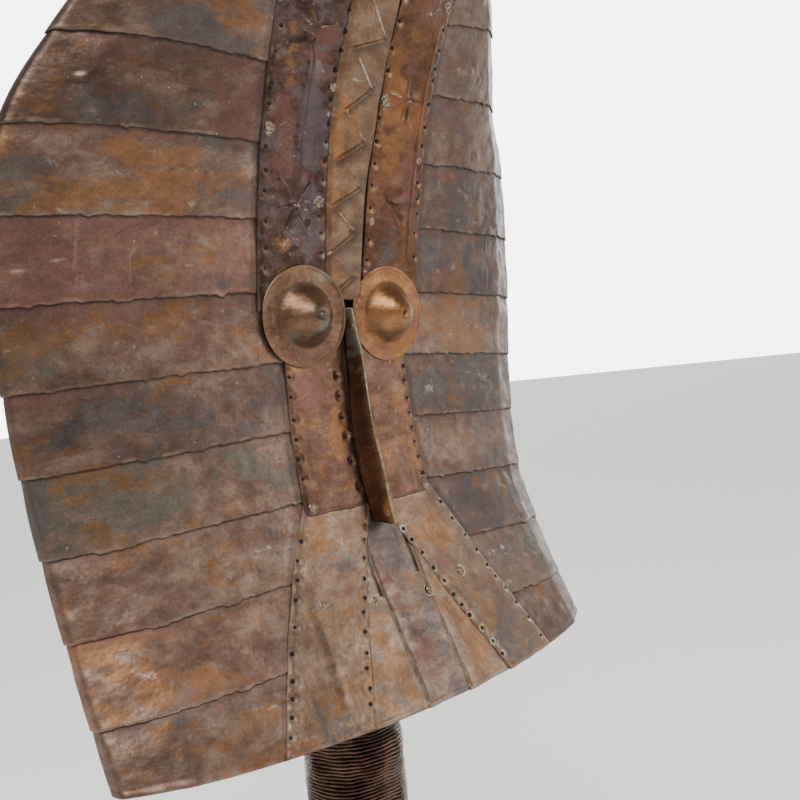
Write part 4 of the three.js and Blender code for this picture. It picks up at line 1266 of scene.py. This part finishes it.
def eye_disc(label, copper, shares):
    side = SIDES[label]
    seed = 2300 + side
    rings = np.r_[np.linspace(0, BOSS_RADIUS, 44), np.linspace(BOSS_RADIUS, EYE_RADIUS, 19)[1:]]
    turns = 144
    angle = np.arange(turns) * 2 * math.pi / turns
    ring = rings[:, None]
    uneven = 0.012 * lumps(np.cos(angle) * 9, np.sin(angle) * 9, 9, seed)[None, :]
    radius = ring * (1 + uneven * (ring / EYE_RADIUS) ** 3)
    u, v = radius * np.cos(angle), radius * np.sin(angle)

    # Soften the foot of the boss, leave the rim a little wavy, mark the tip
    shifted = [boss_height(np.clip(rings + shift, 0, EYE_RADIUS)) for shift in (-0.9, -0.45, 0, 0.45, 0.9)]
    height = np.where(rings > 4, np.mean(shifted, axis=0), boss_height(rings))[:, None] + SHEET
    flange = between(ring, BOSS_RADIUS - 1, BOSS_RADIUS + 3)
    height = height + 0.09 * lumps(u, v, 5, seed + 1) + 0.28 * flange * lumps(u, v, 11, seed + 2)
    height = height - 0.06 * flange * (ring - BOSS_RADIUS) + 0.3 * bump(ring - EYE_RADIUS + 0.7, 0.7)
    if side > 0:
        along, across = 0.3 * (u - 1.5) + 0.95 * v, 0.95 * (u - 1.5) - 0.3 * v
        shaded_hollow = bump(along, 1.6) * bump(across, 0.75)
        height = height - 1.8 * shaded_hollow + 0.3 * bump(np.hypot(along, 1.6 * across) - 2.3, 0.5)
    else:
        nub = np.hypot(u - 0.2, v)
        shaded_hollow = 0.95 * bump(nub - 2, 0.5) * between(0.8 * u - v, -1.5, 1.2)
        height = height - 0.5 * bump(nub, 3.4) - 0.45 * bump(nub - 2.1, 0.6) + 1.0 * between(nub, 2.0, 1.1)
    under = np.minimum(height - 0.4, 0.97 * boss_height(radius) - 0.1)

    sheets = [np.stack([u[1:], v[1:], level[1:]], axis=-1).reshape(-1, 3) for level in (height, under)]
    tips = np.array([[0, 0, height[0].mean()], [0, 0, under[0].mean()]])
    verts = np.vstack(sheets + [tips])
    count = len(rings) - 1
    ids = np.arange(2 * count * turns).reshape(2, count, turns)
    after = np.roll(np.arange(turns), -1)
    faces = []
    for layer, order in ((0, slice(None)), (1, slice(None, None, -1))):
        near, far = ids[layer, :-1], ids[layer, 1:]
        quads = np.stack([near, far, far[:, after], near[:, after]], axis=-1).reshape(-1, 4)
        faces += quads[:, order].tolist()
        tip = 2 * count * turns + layer
        faces += [[tip, int(ids[layer, 0, t]), int(ids[layer, 0, after[t]])][order] for t in range(turns)]
    over, below = ids[:, -1]
    faces += [[int(over[t]), int(below[t]), int(below[after[t]]), int(over[after[t]])] for t in range(turns)]
    across_way, up_way, out_way = disc_frame(EYE_CENTRES[label])
    centre = over_front(EYE_CENTRES[label], EYE_LEVEL, LAYER_TWO + SHEET + GAP + 0.6)
    placed = centre + verts[:, :1] * across_way + verts[:, 1:2] * up_way + verts[:, 2:] * out_way

    u, v = verts[:, 0], verts[:, 1]
    away = np.hypot(u, v)
    rim = between(away, BOSS_RADIUS - 2, BOSS_RADIUS + 1.5)
    low_left = bump(u + 6, 7) * bump(v + 7, 6) * (1 - rim)
    foot = bump(away - BOSS_RADIUS + 3, 3.5) * between(-v, -2, 8)
    masks = coverage(u + 200 * side, v, shares, {}, seed)
    # The boss painted less orange on its upper part, a painted grey sheen, and more orange at its lower left
    # and foot, a painted reflection of the copper below
    masks[1] = masks[1] * (1 - 0.8 * (1 - rim) * between(v - 0.4 * u, -4, 4))
    masks[1] = np.clip(masks[1] + 0.3 * low_left + 0.45 * foot, 0, 1)
    masks[1] = np.clip(masks[1] + (0.4 if side > 0 else 0) * rim * between(-u, -4, 8), 0, 1)
    masks[4] = np.clip(masks[4] + (0.8 if side < 0 else 0.1) * bump(u + 6, 10) * bump(v + 17, 4), 0, 1)
    # More olive grey over the boss's upper part: a painted grey sheen
    masks[4] = np.clip(masks[4] + 0.6 * (1 - rim) * between(v - u, -9, 5), 0, 1)
    dirt_and_shade = np.zeros(len(verts))
    # The hollow at the tip is painted dark: painted shade
    dirt_and_shade[:count * turns] = shaded_hollow[1:].ravel()
    low_right = between(u - v, -6, 16)
    # A painted shadow round the lower right of the boss's foot
    dirt_and_shade = np.maximum(dirt_and_shade, 0.5 * low_right * bump(away - BOSS_RADIUS, 1.1))
    # The boss painted lighter towards its top: painted light
    tone = (0.56 if side > 0 else 0.5) + 0.06 * (1 - rim) * between(v, -4, 8)
    paint = painted(masks, dirt_and_shade, 0.5 * bump(away - EYE_RADIUS, 0.5), tone)
    obj = mesh_object(f"{label}_eye_disc_beaten", placed, faces, paint)
    finished(obj, f"{label}_eye_disc", COPPER[copper])


# Wood: the solid's own form, smoothed as a carver's adze leaves it

def plain_copy(obj, name):
    """The evaluated mesh of an object as a new plain object; the first one is deleted."""
    graph = bpy.context.evaluated_depsgraph_get()
    mesh = bpy.data.meshes.new_from_object(obj.evaluated_get(graph))
    mesh.name = name
    bpy.data.objects.remove(obj)
    return new_object(name, mesh)


def vertex_values(mesh, field):
    """Places or normals of a mesh's vertices, one row for each."""
    values = np.empty(len(mesh.vertices) * 3)
    mesh.vertices.foreach_get(field, values)
    return values.reshape(-1, 3)


# Size of the skin's cells, how often it is smoothed, and how far its front stays behind the metal
WOOD_CELL = 2.1
WORN_ROUNDS = 6
WOOD_CLEARANCE = 1.0


def carved_wood():
    obj = new_object("carved_wood_core_worn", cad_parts["carved_wood_core"].data.copy())
    body = bmesh.new()
    body.from_mesh(obj.data)
    bmesh.ops.remove_doubles(body, verts=body.verts, dist=0.01 * MM)
    body.to_mesh(obj.data)
    body.free()
    remesh = obj.modifiers.new("even_skin", "REMESH")
    remesh.mode = "VOXEL"
    remesh.voxel_size = WOOD_CELL * MM
    smooth = obj.modifiers.new("worn_edges", "SMOOTH")
    smooth.iterations = WORN_ROUNDS
    smooth.factor = 0.5
    obj = plain_copy(obj, "carved_wood_core_carved")
    mesh = obj.data
    place = vertex_values(mesh, "co") / MM
    normal = vertex_values(mesh, "normal")
    x, y, z = place.T

    # Strokes of the adze, but a flat foot, and a front that clears the metal on it
    strokes = 0.3 * lumps(x * 1.4 + y, z * 0.6, 9, 51) + 0.2 * lumps(x + y, z, 4, 52) - 0.35
    face_front = (normal[:, 1] < -0.4) & (z > CHIN_Z)
    flat_foot = z < 1.2
    place = place + normal * np.where(flat_foot, 0, strokes)[:, None]
    place[face_front, 1] += WOOD_CLEARANCE
    place[flat_foot, 2] = np.maximum(place[flat_foot, 2], 0)
    mesh.vertices.foreach_set("co", (place * MM).ravel())
    mesh.update()
    mesh.shade_smooth()
    finished(obj, "carved_wood_core", WOOD)


# Geometry Nodes: small heads set on points, and the wire wound round the neck

def new_tree(name, inputs):
    tree = bpy.data.node_groups.new(name, "GeometryNodeTree")
    tree.interface.new_socket("Geometry", in_out="INPUT", socket_type="NodeSocketGeometry")
    for label, value in inputs.items():
        socket = tree.interface.new_socket(label, in_out="INPUT", socket_type="NodeSocketFloat")
        socket.default_value = value
    tree.interface.new_socket("Geometry", in_out="OUTPUT", socket_type="NodeSocketGeometry")
    return tree, add(tree, "NodeGroupInput").outputs


def end_tree(tree, geometry, smooth, material):
    """Every tree ends in real geometry with its material."""
    real = add(tree, "GeometryNodeRealizeInstances", {"Geometry": geometry}).outputs[0]
    shaded = add(tree, "GeometryNodeSetShadeSmooth", {"Geometry": real, "Shade Smooth": smooth}).outputs[0]
    finish = add(tree, "GeometryNodeSetMaterial", {"Geometry": shaded, "Material": material}).outputs[0]
    add(tree, "NodeGroupOutput", {"Geometry": finish})


def grown_from(tree, mesh, name, values):
    """Runs a tree on a mesh, with its inputs set by identifier, and keeps the plain result."""
    obj = bpy.data.objects.new(f"{name}_seed", mesh)
    bpy.context.scene.collection.objects.link(obj)
    modifier = obj.modifiers.new(name, "NODES")
    modifier.node_group = tree
    for item in tree.interface.items_tree:
        if item.in_out == "INPUT" and item.name in values:
            modifier[item.identifier] = values[item.name]
    return plain_copy(obj, name)


def heads_tree(name, slotted, material):
    """Heads on points, each turned to its point's facing, with its own turn and size."""
    tree, given = new_tree(name, {"Head Radius": 0.001, "Head Height": 0.0005})
    segments, rings = (22, 10) if slotted else (12, 6)
    head = add(tree, "GeometryNodeMeshUVSphere", {
        "Segments": segments, "Rings": rings, "Radius": 1.0}).outputs["Mesh"]
    if slotted:
        cut = add(tree, "GeometryNodeMeshCube", {"Size": (3.0, 0.26, 1.0)}).outputs["Mesh"]
        cut = add(tree, "GeometryNodeTransform", {
            "Geometry": cut, "Translation": (0.0, 0.0, 0.95)}).outputs["Geometry"]
        head = add(tree, "GeometryNodeMeshBoolean", {0: head, 1: cut}, operation="DIFFERENCE",
                   solver="EXACT").outputs["Mesh"]
    facing_way, turn, size = (
        add(tree, "GeometryNodeInputNamedAttribute", {"Name": label}, data_type=kind).outputs["Attribute"]
        for label, kind in (("facing", "FLOAT_VECTOR"), ("turn", "FLOAT"), ("size", "FLOAT")))
    aligned = add(tree, "FunctionNodeAlignRotationToVector", {"Vector": facing_way}, axis="Z").outputs[0]
    spun = add(tree, "FunctionNodeAxisAngleToRotation", {"Axis": (0.0, 0.0, 1.0), "Angle": turn}).outputs[0]
    rotation = add(tree, "FunctionNodeRotateRotation", {"Rotation": aligned, "Rotate By": spun},
                   rotation_space="LOCAL").outputs[0]
    shape = add(tree, "ShaderNodeCombineXYZ", {
        0: given["Head Radius"], 1: given["Head Radius"], 2: given["Head Height"]}).outputs[0]
    scale = add(tree, "ShaderNodeVectorMath", {0: shape, "Scale": size}, operation="SCALE").outputs["Vector"]
    placed = add(tree, "GeometryNodeInstanceOnPoints", {
        "Points": given["Geometry"], "Instance": head, "Rotation": rotation, "Scale": scale})
    end_tree(tree, placed.outputs["Instances"], not slotted, material)
    return tree


def set_heads(name, slotted, places, head, material):
    """Small heads, one for each (place, facing, size), as one plain mesh. head is their radius and height."""
    spots, ways, sizes = zip(*places)
    turns = np.random.default_rng(5).uniform(0, math.pi, len(places))
    mesh = bpy.data.meshes.new(f"{name}_points")
    mesh.from_pydata((np.array(spots) * MM).tolist(), [], [])
    for label, kind, field, values in (("facing", "FLOAT_VECTOR", "vector", ways),
                                       ("turn", "FLOAT", "value", turns), ("size", "FLOAT", "value", sizes)):
        layer = mesh.attributes.new(label, kind, "POINT")
        layer.data.foreach_set(field, np.array(values, np.float32).ravel())
    tree = heads_tree(f"{name}_tree", slotted, material)
    obj = grown_from(tree, mesh, name, {"Head Radius": head[0] * MM, "Head Height": head[1] * MM})
    finished(obj, None, material)


def on_face(x, h, height):
    """Place and facing of something that sits on the bands."""
    return over_front(x, h, height), square_out(x, h)


# Radius and height of a head
NAIL_HEAD = (0.88, 0.5)
SCREW_HEAD = (1.95, 0.8)


def nails_and_screws():
    sizes = np.random.default_rng(8).uniform(0.82, 1.15, len(nail_heads))
    nails = [(*on_face(*head), size) for head, size in zip(nail_heads, sizes)]
    reach, level = loop_profile(LEG_NAIL, GAP + SHEET)
    nails.append((np.array([4.0, -float(reach) - 0.4, float(level)]), np.array([0.0, -0.9, 0.43]), 1.5))
    set_heads("band_nails", False, nails, NAIL_HEAD, NAIL_IRON)
    screws = [(*on_face(sx, sh, height), 1.0) for (sx, sh), height in screw_heights.items()]
    set_heads("band_screws", True, screws, SCREW_HEAD, SCREW_BRASS)


def neck_wire():
    """One length of wire wound close, in slanting groups of turns, no two turns quite alike."""
    low, high = LOOP_TOP + GAP + WIRE_RADIUS, CHIN_Z - CHIN_HEM - GAP - WIRE_RADIUS
    tree, given = new_tree("wound_wire", {"Turns": 50.0, "Winding Radius": 0.022, "Height": 0.08,
                                          "Wire Radius": 0.0008, "Slant": 0.001, "Unevenness": 0.0003})
    spiral = add(tree, "GeometryNodeCurveSpiral", {
        "Resolution": 60, "Rotations": given["Turns"], "Start Radius": given["Winding Radius"],
        "End Radius": given["Winding Radius"], "Height": given["Height"]}).outputs["Curve"]
    for size, amount in ((17, "Slant"), (2.6, "Unevenness")):
        noise = add(tree, "ShaderNodeTexNoise", {"Scale": per_metre(size), "Detail": 1.0}).outputs["Color"]
        centred = add(tree, "ShaderNodeVectorMath", {0: noise, 1: (0.5, 0.5, 0.5)},
                      operation="SUBTRACT").outputs[0]
        shaken = add(tree, "ShaderNodeVectorMath", {0: centred, "Scale": given[amount]},
                     operation="SCALE").outputs[0]
        spiral = add(tree, "GeometryNodeSetPosition", {"Geometry": spiral, "Offset": shaken}).outputs[0]
    section = add(tree, "GeometryNodeCurvePrimitiveCircle", {
        "Resolution": 8, "Radius": given["Wire Radius"]}).outputs["Curve"]
    tube = add(tree, "GeometryNodeCurveToMesh", {
        "Curve": spiral, "Profile Curve": section, "Fill Caps": True}).outputs["Mesh"]
    end_tree(tree, tube, True, COPPER["wire"])
    mesh = bpy.data.meshes.new("wire_start")
    mesh.from_pydata([(0, 0, 0)], [], [])
    obj = grown_from(tree, mesh, "neck_wire_wound", {
        "Turns": (high - low) / WIRE_PITCH, "Winding Radius": (NECK_RADIUS + GAP + WIRE_RADIUS) * MM,
        "Height": (high - low) * MM, "Wire Radius": WIRE_RADIUS * MM, "Slant": WIRE_SLANT * MM,
        "Unevenness": WIRE_UNEVENNESS * MM})
    obj.data.transform(Matrix.Translation((0, 0, low * MM)))
    x, y, z = vertex_values(obj.data, "co").T / MM
    angle = np.arctan2(y, x)
    turn = np.floor(z / WIRE_PITCH - angle / (2 * math.pi))
    bare = between(lumps(9 * angle, 0.6 * z, 4, 61) + 0.4 * lumps(turn, 0, 1.3, 62), 0.25, 0.9)
    depth = NECK_RADIUS + GAP + 1.15 * WIRE_RADIUS - np.hypot(x, y)
    green = 0.5 * between(lumps(12 * angle, z, 2.2, 63), 0.5, 0.9)
    tone = 0.38 + 0.14 * lumps(turn, 3, 1.1, 64)
    masks = (0.3, 0.15 + 0.5 * bare, 0.3, 0.15 * bare, green)
    # Darker on the inner side of the wire, towards the neck: dirt and painted shade between the turns
    lay_paint(obj.data, painted(masks, 0.9 * between(depth, -0.1, 0.7), 0.2 * bare, tone))
    finished(obj, "neck_wire_wrap", COPPER["wire"])


# Stand: the sheets on its front and back leg

def bezier(start, first, second, end, t):
    s = 1 - t
    return s ** 3 * start + 3 * s * s * t * first + 3 * s * t * t * second + t ** 3 * end


def loop_profile(t, grow):
    """Reach and height down the stand's leg, from the wire to the foot, as it is cut in the solid."""
    middle, bend = 0.54 * BASE_HEIGHT, 0.13 * BASE_HEIGHT
    neck, reach, foot = NECK_RADIUS + grow, STAND_REACH + grow, STAND_FOOT_REACH + grow
    upper = np.clip(2 * t, 0, 1)
    lower = np.clip(2 * t - 1, 0, 1)
    y = np.where(t < 0.5, bezier(neck, neck, reach, reach, upper), bezier(reach, reach, foot, foot, lower))
    z = np.where(t < 0.5, bezier(LOOP_TOP, 0.9 * BASE_HEIGHT, middle + bend, middle, upper),
                 bezier(middle, middle - bend, 0.3 * BASE_HEIGHT, FOOT_THICKNESS - 1, lower))
    return y, z


def stand_half_width(z):
    """Half width of the stand seen from the front, at a height."""
    t = np.linspace(0, 1, 200)
    half, low = 0.5 * BASE_HEIGHT, 0.82 * STAND_HALF_WIDTH
    x = np.r_[bezier(NECK_RADIUS - 1, NECK_RADIUS - 1, STAND_HALF_WIDTH, STAND_HALF_WIDTH, t),
              bezier(STAND_HALF_WIDTH, STAND_HALF_WIDTH, low, low, t)]
    at = np.r_[bezier(LOOP_TOP + 1, 0.9 * BASE_HEIGHT, 0.8 * BASE_HEIGHT, half, t),
               bezier(half, 0.3 * BASE_HEIGHT, 0.25 * BASE_HEIGHT, 0, t)]
    return np.interp(z, at[::-1], x[::-1])


def leg_sheet(name, side):
    seed = 2600 + side
    t = np.linspace(0, 1, 170)[:, None]
    c = np.linspace(-1, 1, 95)[None, :]
    reach, z = loop_profile(t, GAP + SHEET)
    low = FOOT_THICKNESS + GAP + 0.6 + 0.3 * lumps(40 * c, 0, 6, seed + 4)
    z = np.maximum(z + 0 * c, low)
    wide = stand_half_width(z) + SHEET
    x = wide * c
    from_edge = wide - np.abs(x)
    ridge = 1.1 * bump(from_edge - 4.5, 0.9) + 0.5 * bump(from_edge - 9, 1.6) * lumps(z, 0, 30, seed + 3)
    ridge = ridge * between(t, 0.03, 0.15)
    roll = 1.8 * between(np.abs(c), 0.95, 1.0)
    relief = ridge - roll + 0.3 * lumps(x, z, 14, seed) + 0.14 * lumps(x, z, 6, seed + 1)
    grid = np.stack(np.broadcast_arrays(x, side * (reach + relief - 0.25), z), axis=-1).astype(float)
    spots = {"orange": [(6, 78, 6, 16), (-18, 34, 7, 12)], "slate": [(16, 46, 10, 14), (-12, 66, 8, 9)]}
    masks = coverage(x, z, (0.26, 0.3, 0.08, 0.08, 0.36), spots, seed)
    border = edge_distance(grid)
    dirt_and_shade = 0.5 * bump(border, 0.7) + 0.8 * bump(LOOP_TOP - z, 2.0) + 0.35 * bump(from_edge - 6.6, 0.8)
    tone = 0.52 + 0.08 * lumps(x, z, 26, seed + 5)
    paint = painted(masks, np.clip(dirt_and_shade, 0, 1), 0.6 * bump(from_edge - 4.5, 0.6), tone)
    obj = sheet_object(f"{name}_beaten", grid, paint, outward=(0, side, 0))
    finished(obj, name, COPPER["leg"])


def wire_tail():
    """The wire's end, bent down over the front leg and caught under its nail."""
    curve = bpy.data.curves.new("wire_end", "CURVE")
    curve.dimensions = "3D"
    curve.bevel_depth = WIRE_RADIUS * MM
    curve.bevel_resolution = 3
    curve.use_fill_caps = True
    line = curve.splines.new("NURBS")
    y, z = loop_profile(np.array([0.02, 0.04, LEG_NAIL]), GAP + SHEET + WIRE_RADIUS)
    stops = [(19.5, -12.5, LOOP_TOP + 1.2), (15.5, -17.5, LOOP_TOP + 0.6), (11.5, -y[0] - 0.4, z[0] + 1.0),
             (7.5, -y[1] - 0.5, z[1]), (4.2, -y[2] - 0.6, z[2] + 0.2)]
    line.points.add(len(stops) - 1)
    for point, stop in zip(line.points, stops):
        point.co = (*(float(part) * MM for part in stop), 1.0)
    line.use_endpoint_u = True
    line.order_u = 4
    line.resolution_u = 8
    obj = plain_copy(new_object("wire_end", curve), "neck_wire_end")
    lay_paint(obj.data, painted((0.3, 0.2, 0.2, 0.1, 0.1), 0.1, 0.2, 0.5))
    obj.data.shade_smooth()
    finished(obj, None, COPPER["wire"])


# Stage

FLOOR_REACH = 25.0
# The studio as the metal sees it: which way the white backdrop stands, where its soft edge begins
# and ends, and how bright the walls and the backdrop are
BACKDROP_WAY = (0.73, 0.68, 0.0)
BACKDROP_EDGE = (0.6, 0.93)
WALL_LIGHT, BACKDROP_LIGHT = 0.34, 6.5
# Lights in metres and watts: kind, place, what it is aimed at, settings. The wash is a very soft sun
# from behind, which lights the floor more than the figure's front
LIGHTS = {
    "overhead_softbox": ("AREA", (-0.75, -0.55, 1.35), (0, -0.04, 0.36),
                         {"shape": "RECTANGLE", "size": 0.9, "size_y": 0.7, "energy": 23}),
    "floor_wash": ("SUN", (0.62, 0.58, 0.53), (0, 0, 0), {"angle": math.radians(30), "energy": 2}),
    "right_softbox": ("AREA", (1.2, -1.3, 0.75), (0, 0, 0.36),
                      {"shape": "RECTANGLE", "size": 0.9, "size_y": 1.1, "energy": 10}),
}


def stage():
    mesh = bpy.data.meshes.new("pale_floor")
    corners = [(-1, -1), (1, -1), (1, 1), (-1, 1)]
    mesh.from_pydata([(x * FLOOR_REACH, y * FLOOR_REACH, 0) for x, y in corners], [], [(0, 1, 2, 3)])
    material = bpy.data.materials.new("white_painted_board")
    material.use_nodes = True
    shader = material.node_tree.nodes["Principled BSDF"]
    shader.inputs["Base Color"].default_value = linear("#f4f3f1")
    shader.inputs["Roughness"].default_value = 0.9
    mesh.materials.append(material)
    new_object("pale_floor", mesh)

    world = bpy.data.worlds.new("studio")
    bpy.context.scene.world = world
    world.use_nodes = True
    tree = world.node_tree
    tree.nodes.clear()
    way = add(tree, "ShaderNodeTexCoord").outputs["Generated"]
    behind = add(tree, "ShaderNodeVectorMath", {0: way, 1: BACKDROP_WAY},
                 operation="DOT_PRODUCT").outputs["Value"]
    backdrop = add(tree, "ShaderNodeMapRange", {
        "Value": behind, "From Min": BACKDROP_EDGE[0], "From Max": BACKDROP_EDGE[1], "To Min": WALL_LIGHT,
        "To Max": BACKDROP_LIGHT}, interpolation_type="SMOOTHSTEP").outputs["Result"]
    sky = add(tree, "ShaderNodeBackground", {"Color": linear("#f8f8f8"), "Strength": backdrop})
    add(tree, "ShaderNodeOutputWorld", {"Surface": sky.outputs["Background"]})

    for name, (kind, place, target, settings) in LIGHTS.items():
        light = bpy.data.lights.new(name, kind)
        for key, value in settings.items():
            setattr(light, key, value)
        obj = new_object(name, light)
        obj.location = place
        obj.rotation_euler = (Vector(target) - Vector(place)).to_track_quat("-Z", "Y").to_euler()


# Camera of the photograph: place in millimetres, and its right, up and back directions
CAMERA_PLACE = (-327.2, -355.7, 343.9)
CAMERA_RIGHT = (0.67388, -0.73086, -0.10833)
CAMERA_UP = (0.08619, -0.06785, 0.99397)
CAMERA_BACK = (-0.73380, -0.67915, 0.01727)
CAMERA_LENS = 47.49


def camera():
    data = bpy.data.cameras.new("view")
    data.lens = CAMERA_LENS
    data.sensor_width = 36
    data.clip_start = 0.01
    obj = new_object("view", data)
    turn = Matrix((CAMERA_RIGHT, CAMERA_UP, CAMERA_BACK)).transposed().to_4x4()
    obj.matrix_world = Matrix.Translation(Vector(CAMERA_PLACE) * MM) @ turn
    bpy.context.scene.camera = obj


camera()
stage()
carved_wood()
wing_sheets()
forehead_band("left", "plum", (0.35, 0.34, 0.14, 0.32, 0.03, 0.1))
forehead_band("right", "tawny", (0.36, 0.2, 0.42, 0.3, 0.04, 0.06))
zigzag_strip()
cheek_band("left", (0.52, 0.14, 0.42, 0.32, 0.02, 0.08))
cheek_band("right", (0.58, 0.14, 0.34, 0.28, 0.03, 0.1))
chin_band("left", (0.61, 0.2, 0.42, 0.18, 0.05, 0.12))
chin_band("right", (0.61, 0.3, 0.36, 0.22, 0.05, 0.08))
chin_fan()
nose_blade()
eye_disc("left", "brown_disc", (0.24, 0.3, 0.34, 0.06, 0.12))
eye_disc("right", "golden_disc", (0.14, 0.42, 0.34, 0.03, 0.06))
nails_and_screws()
neck_wire()
wire_tail()
leg_sheet("front_leg_sheet", -1)
leg_sheet("back_leg_sheet", 1)
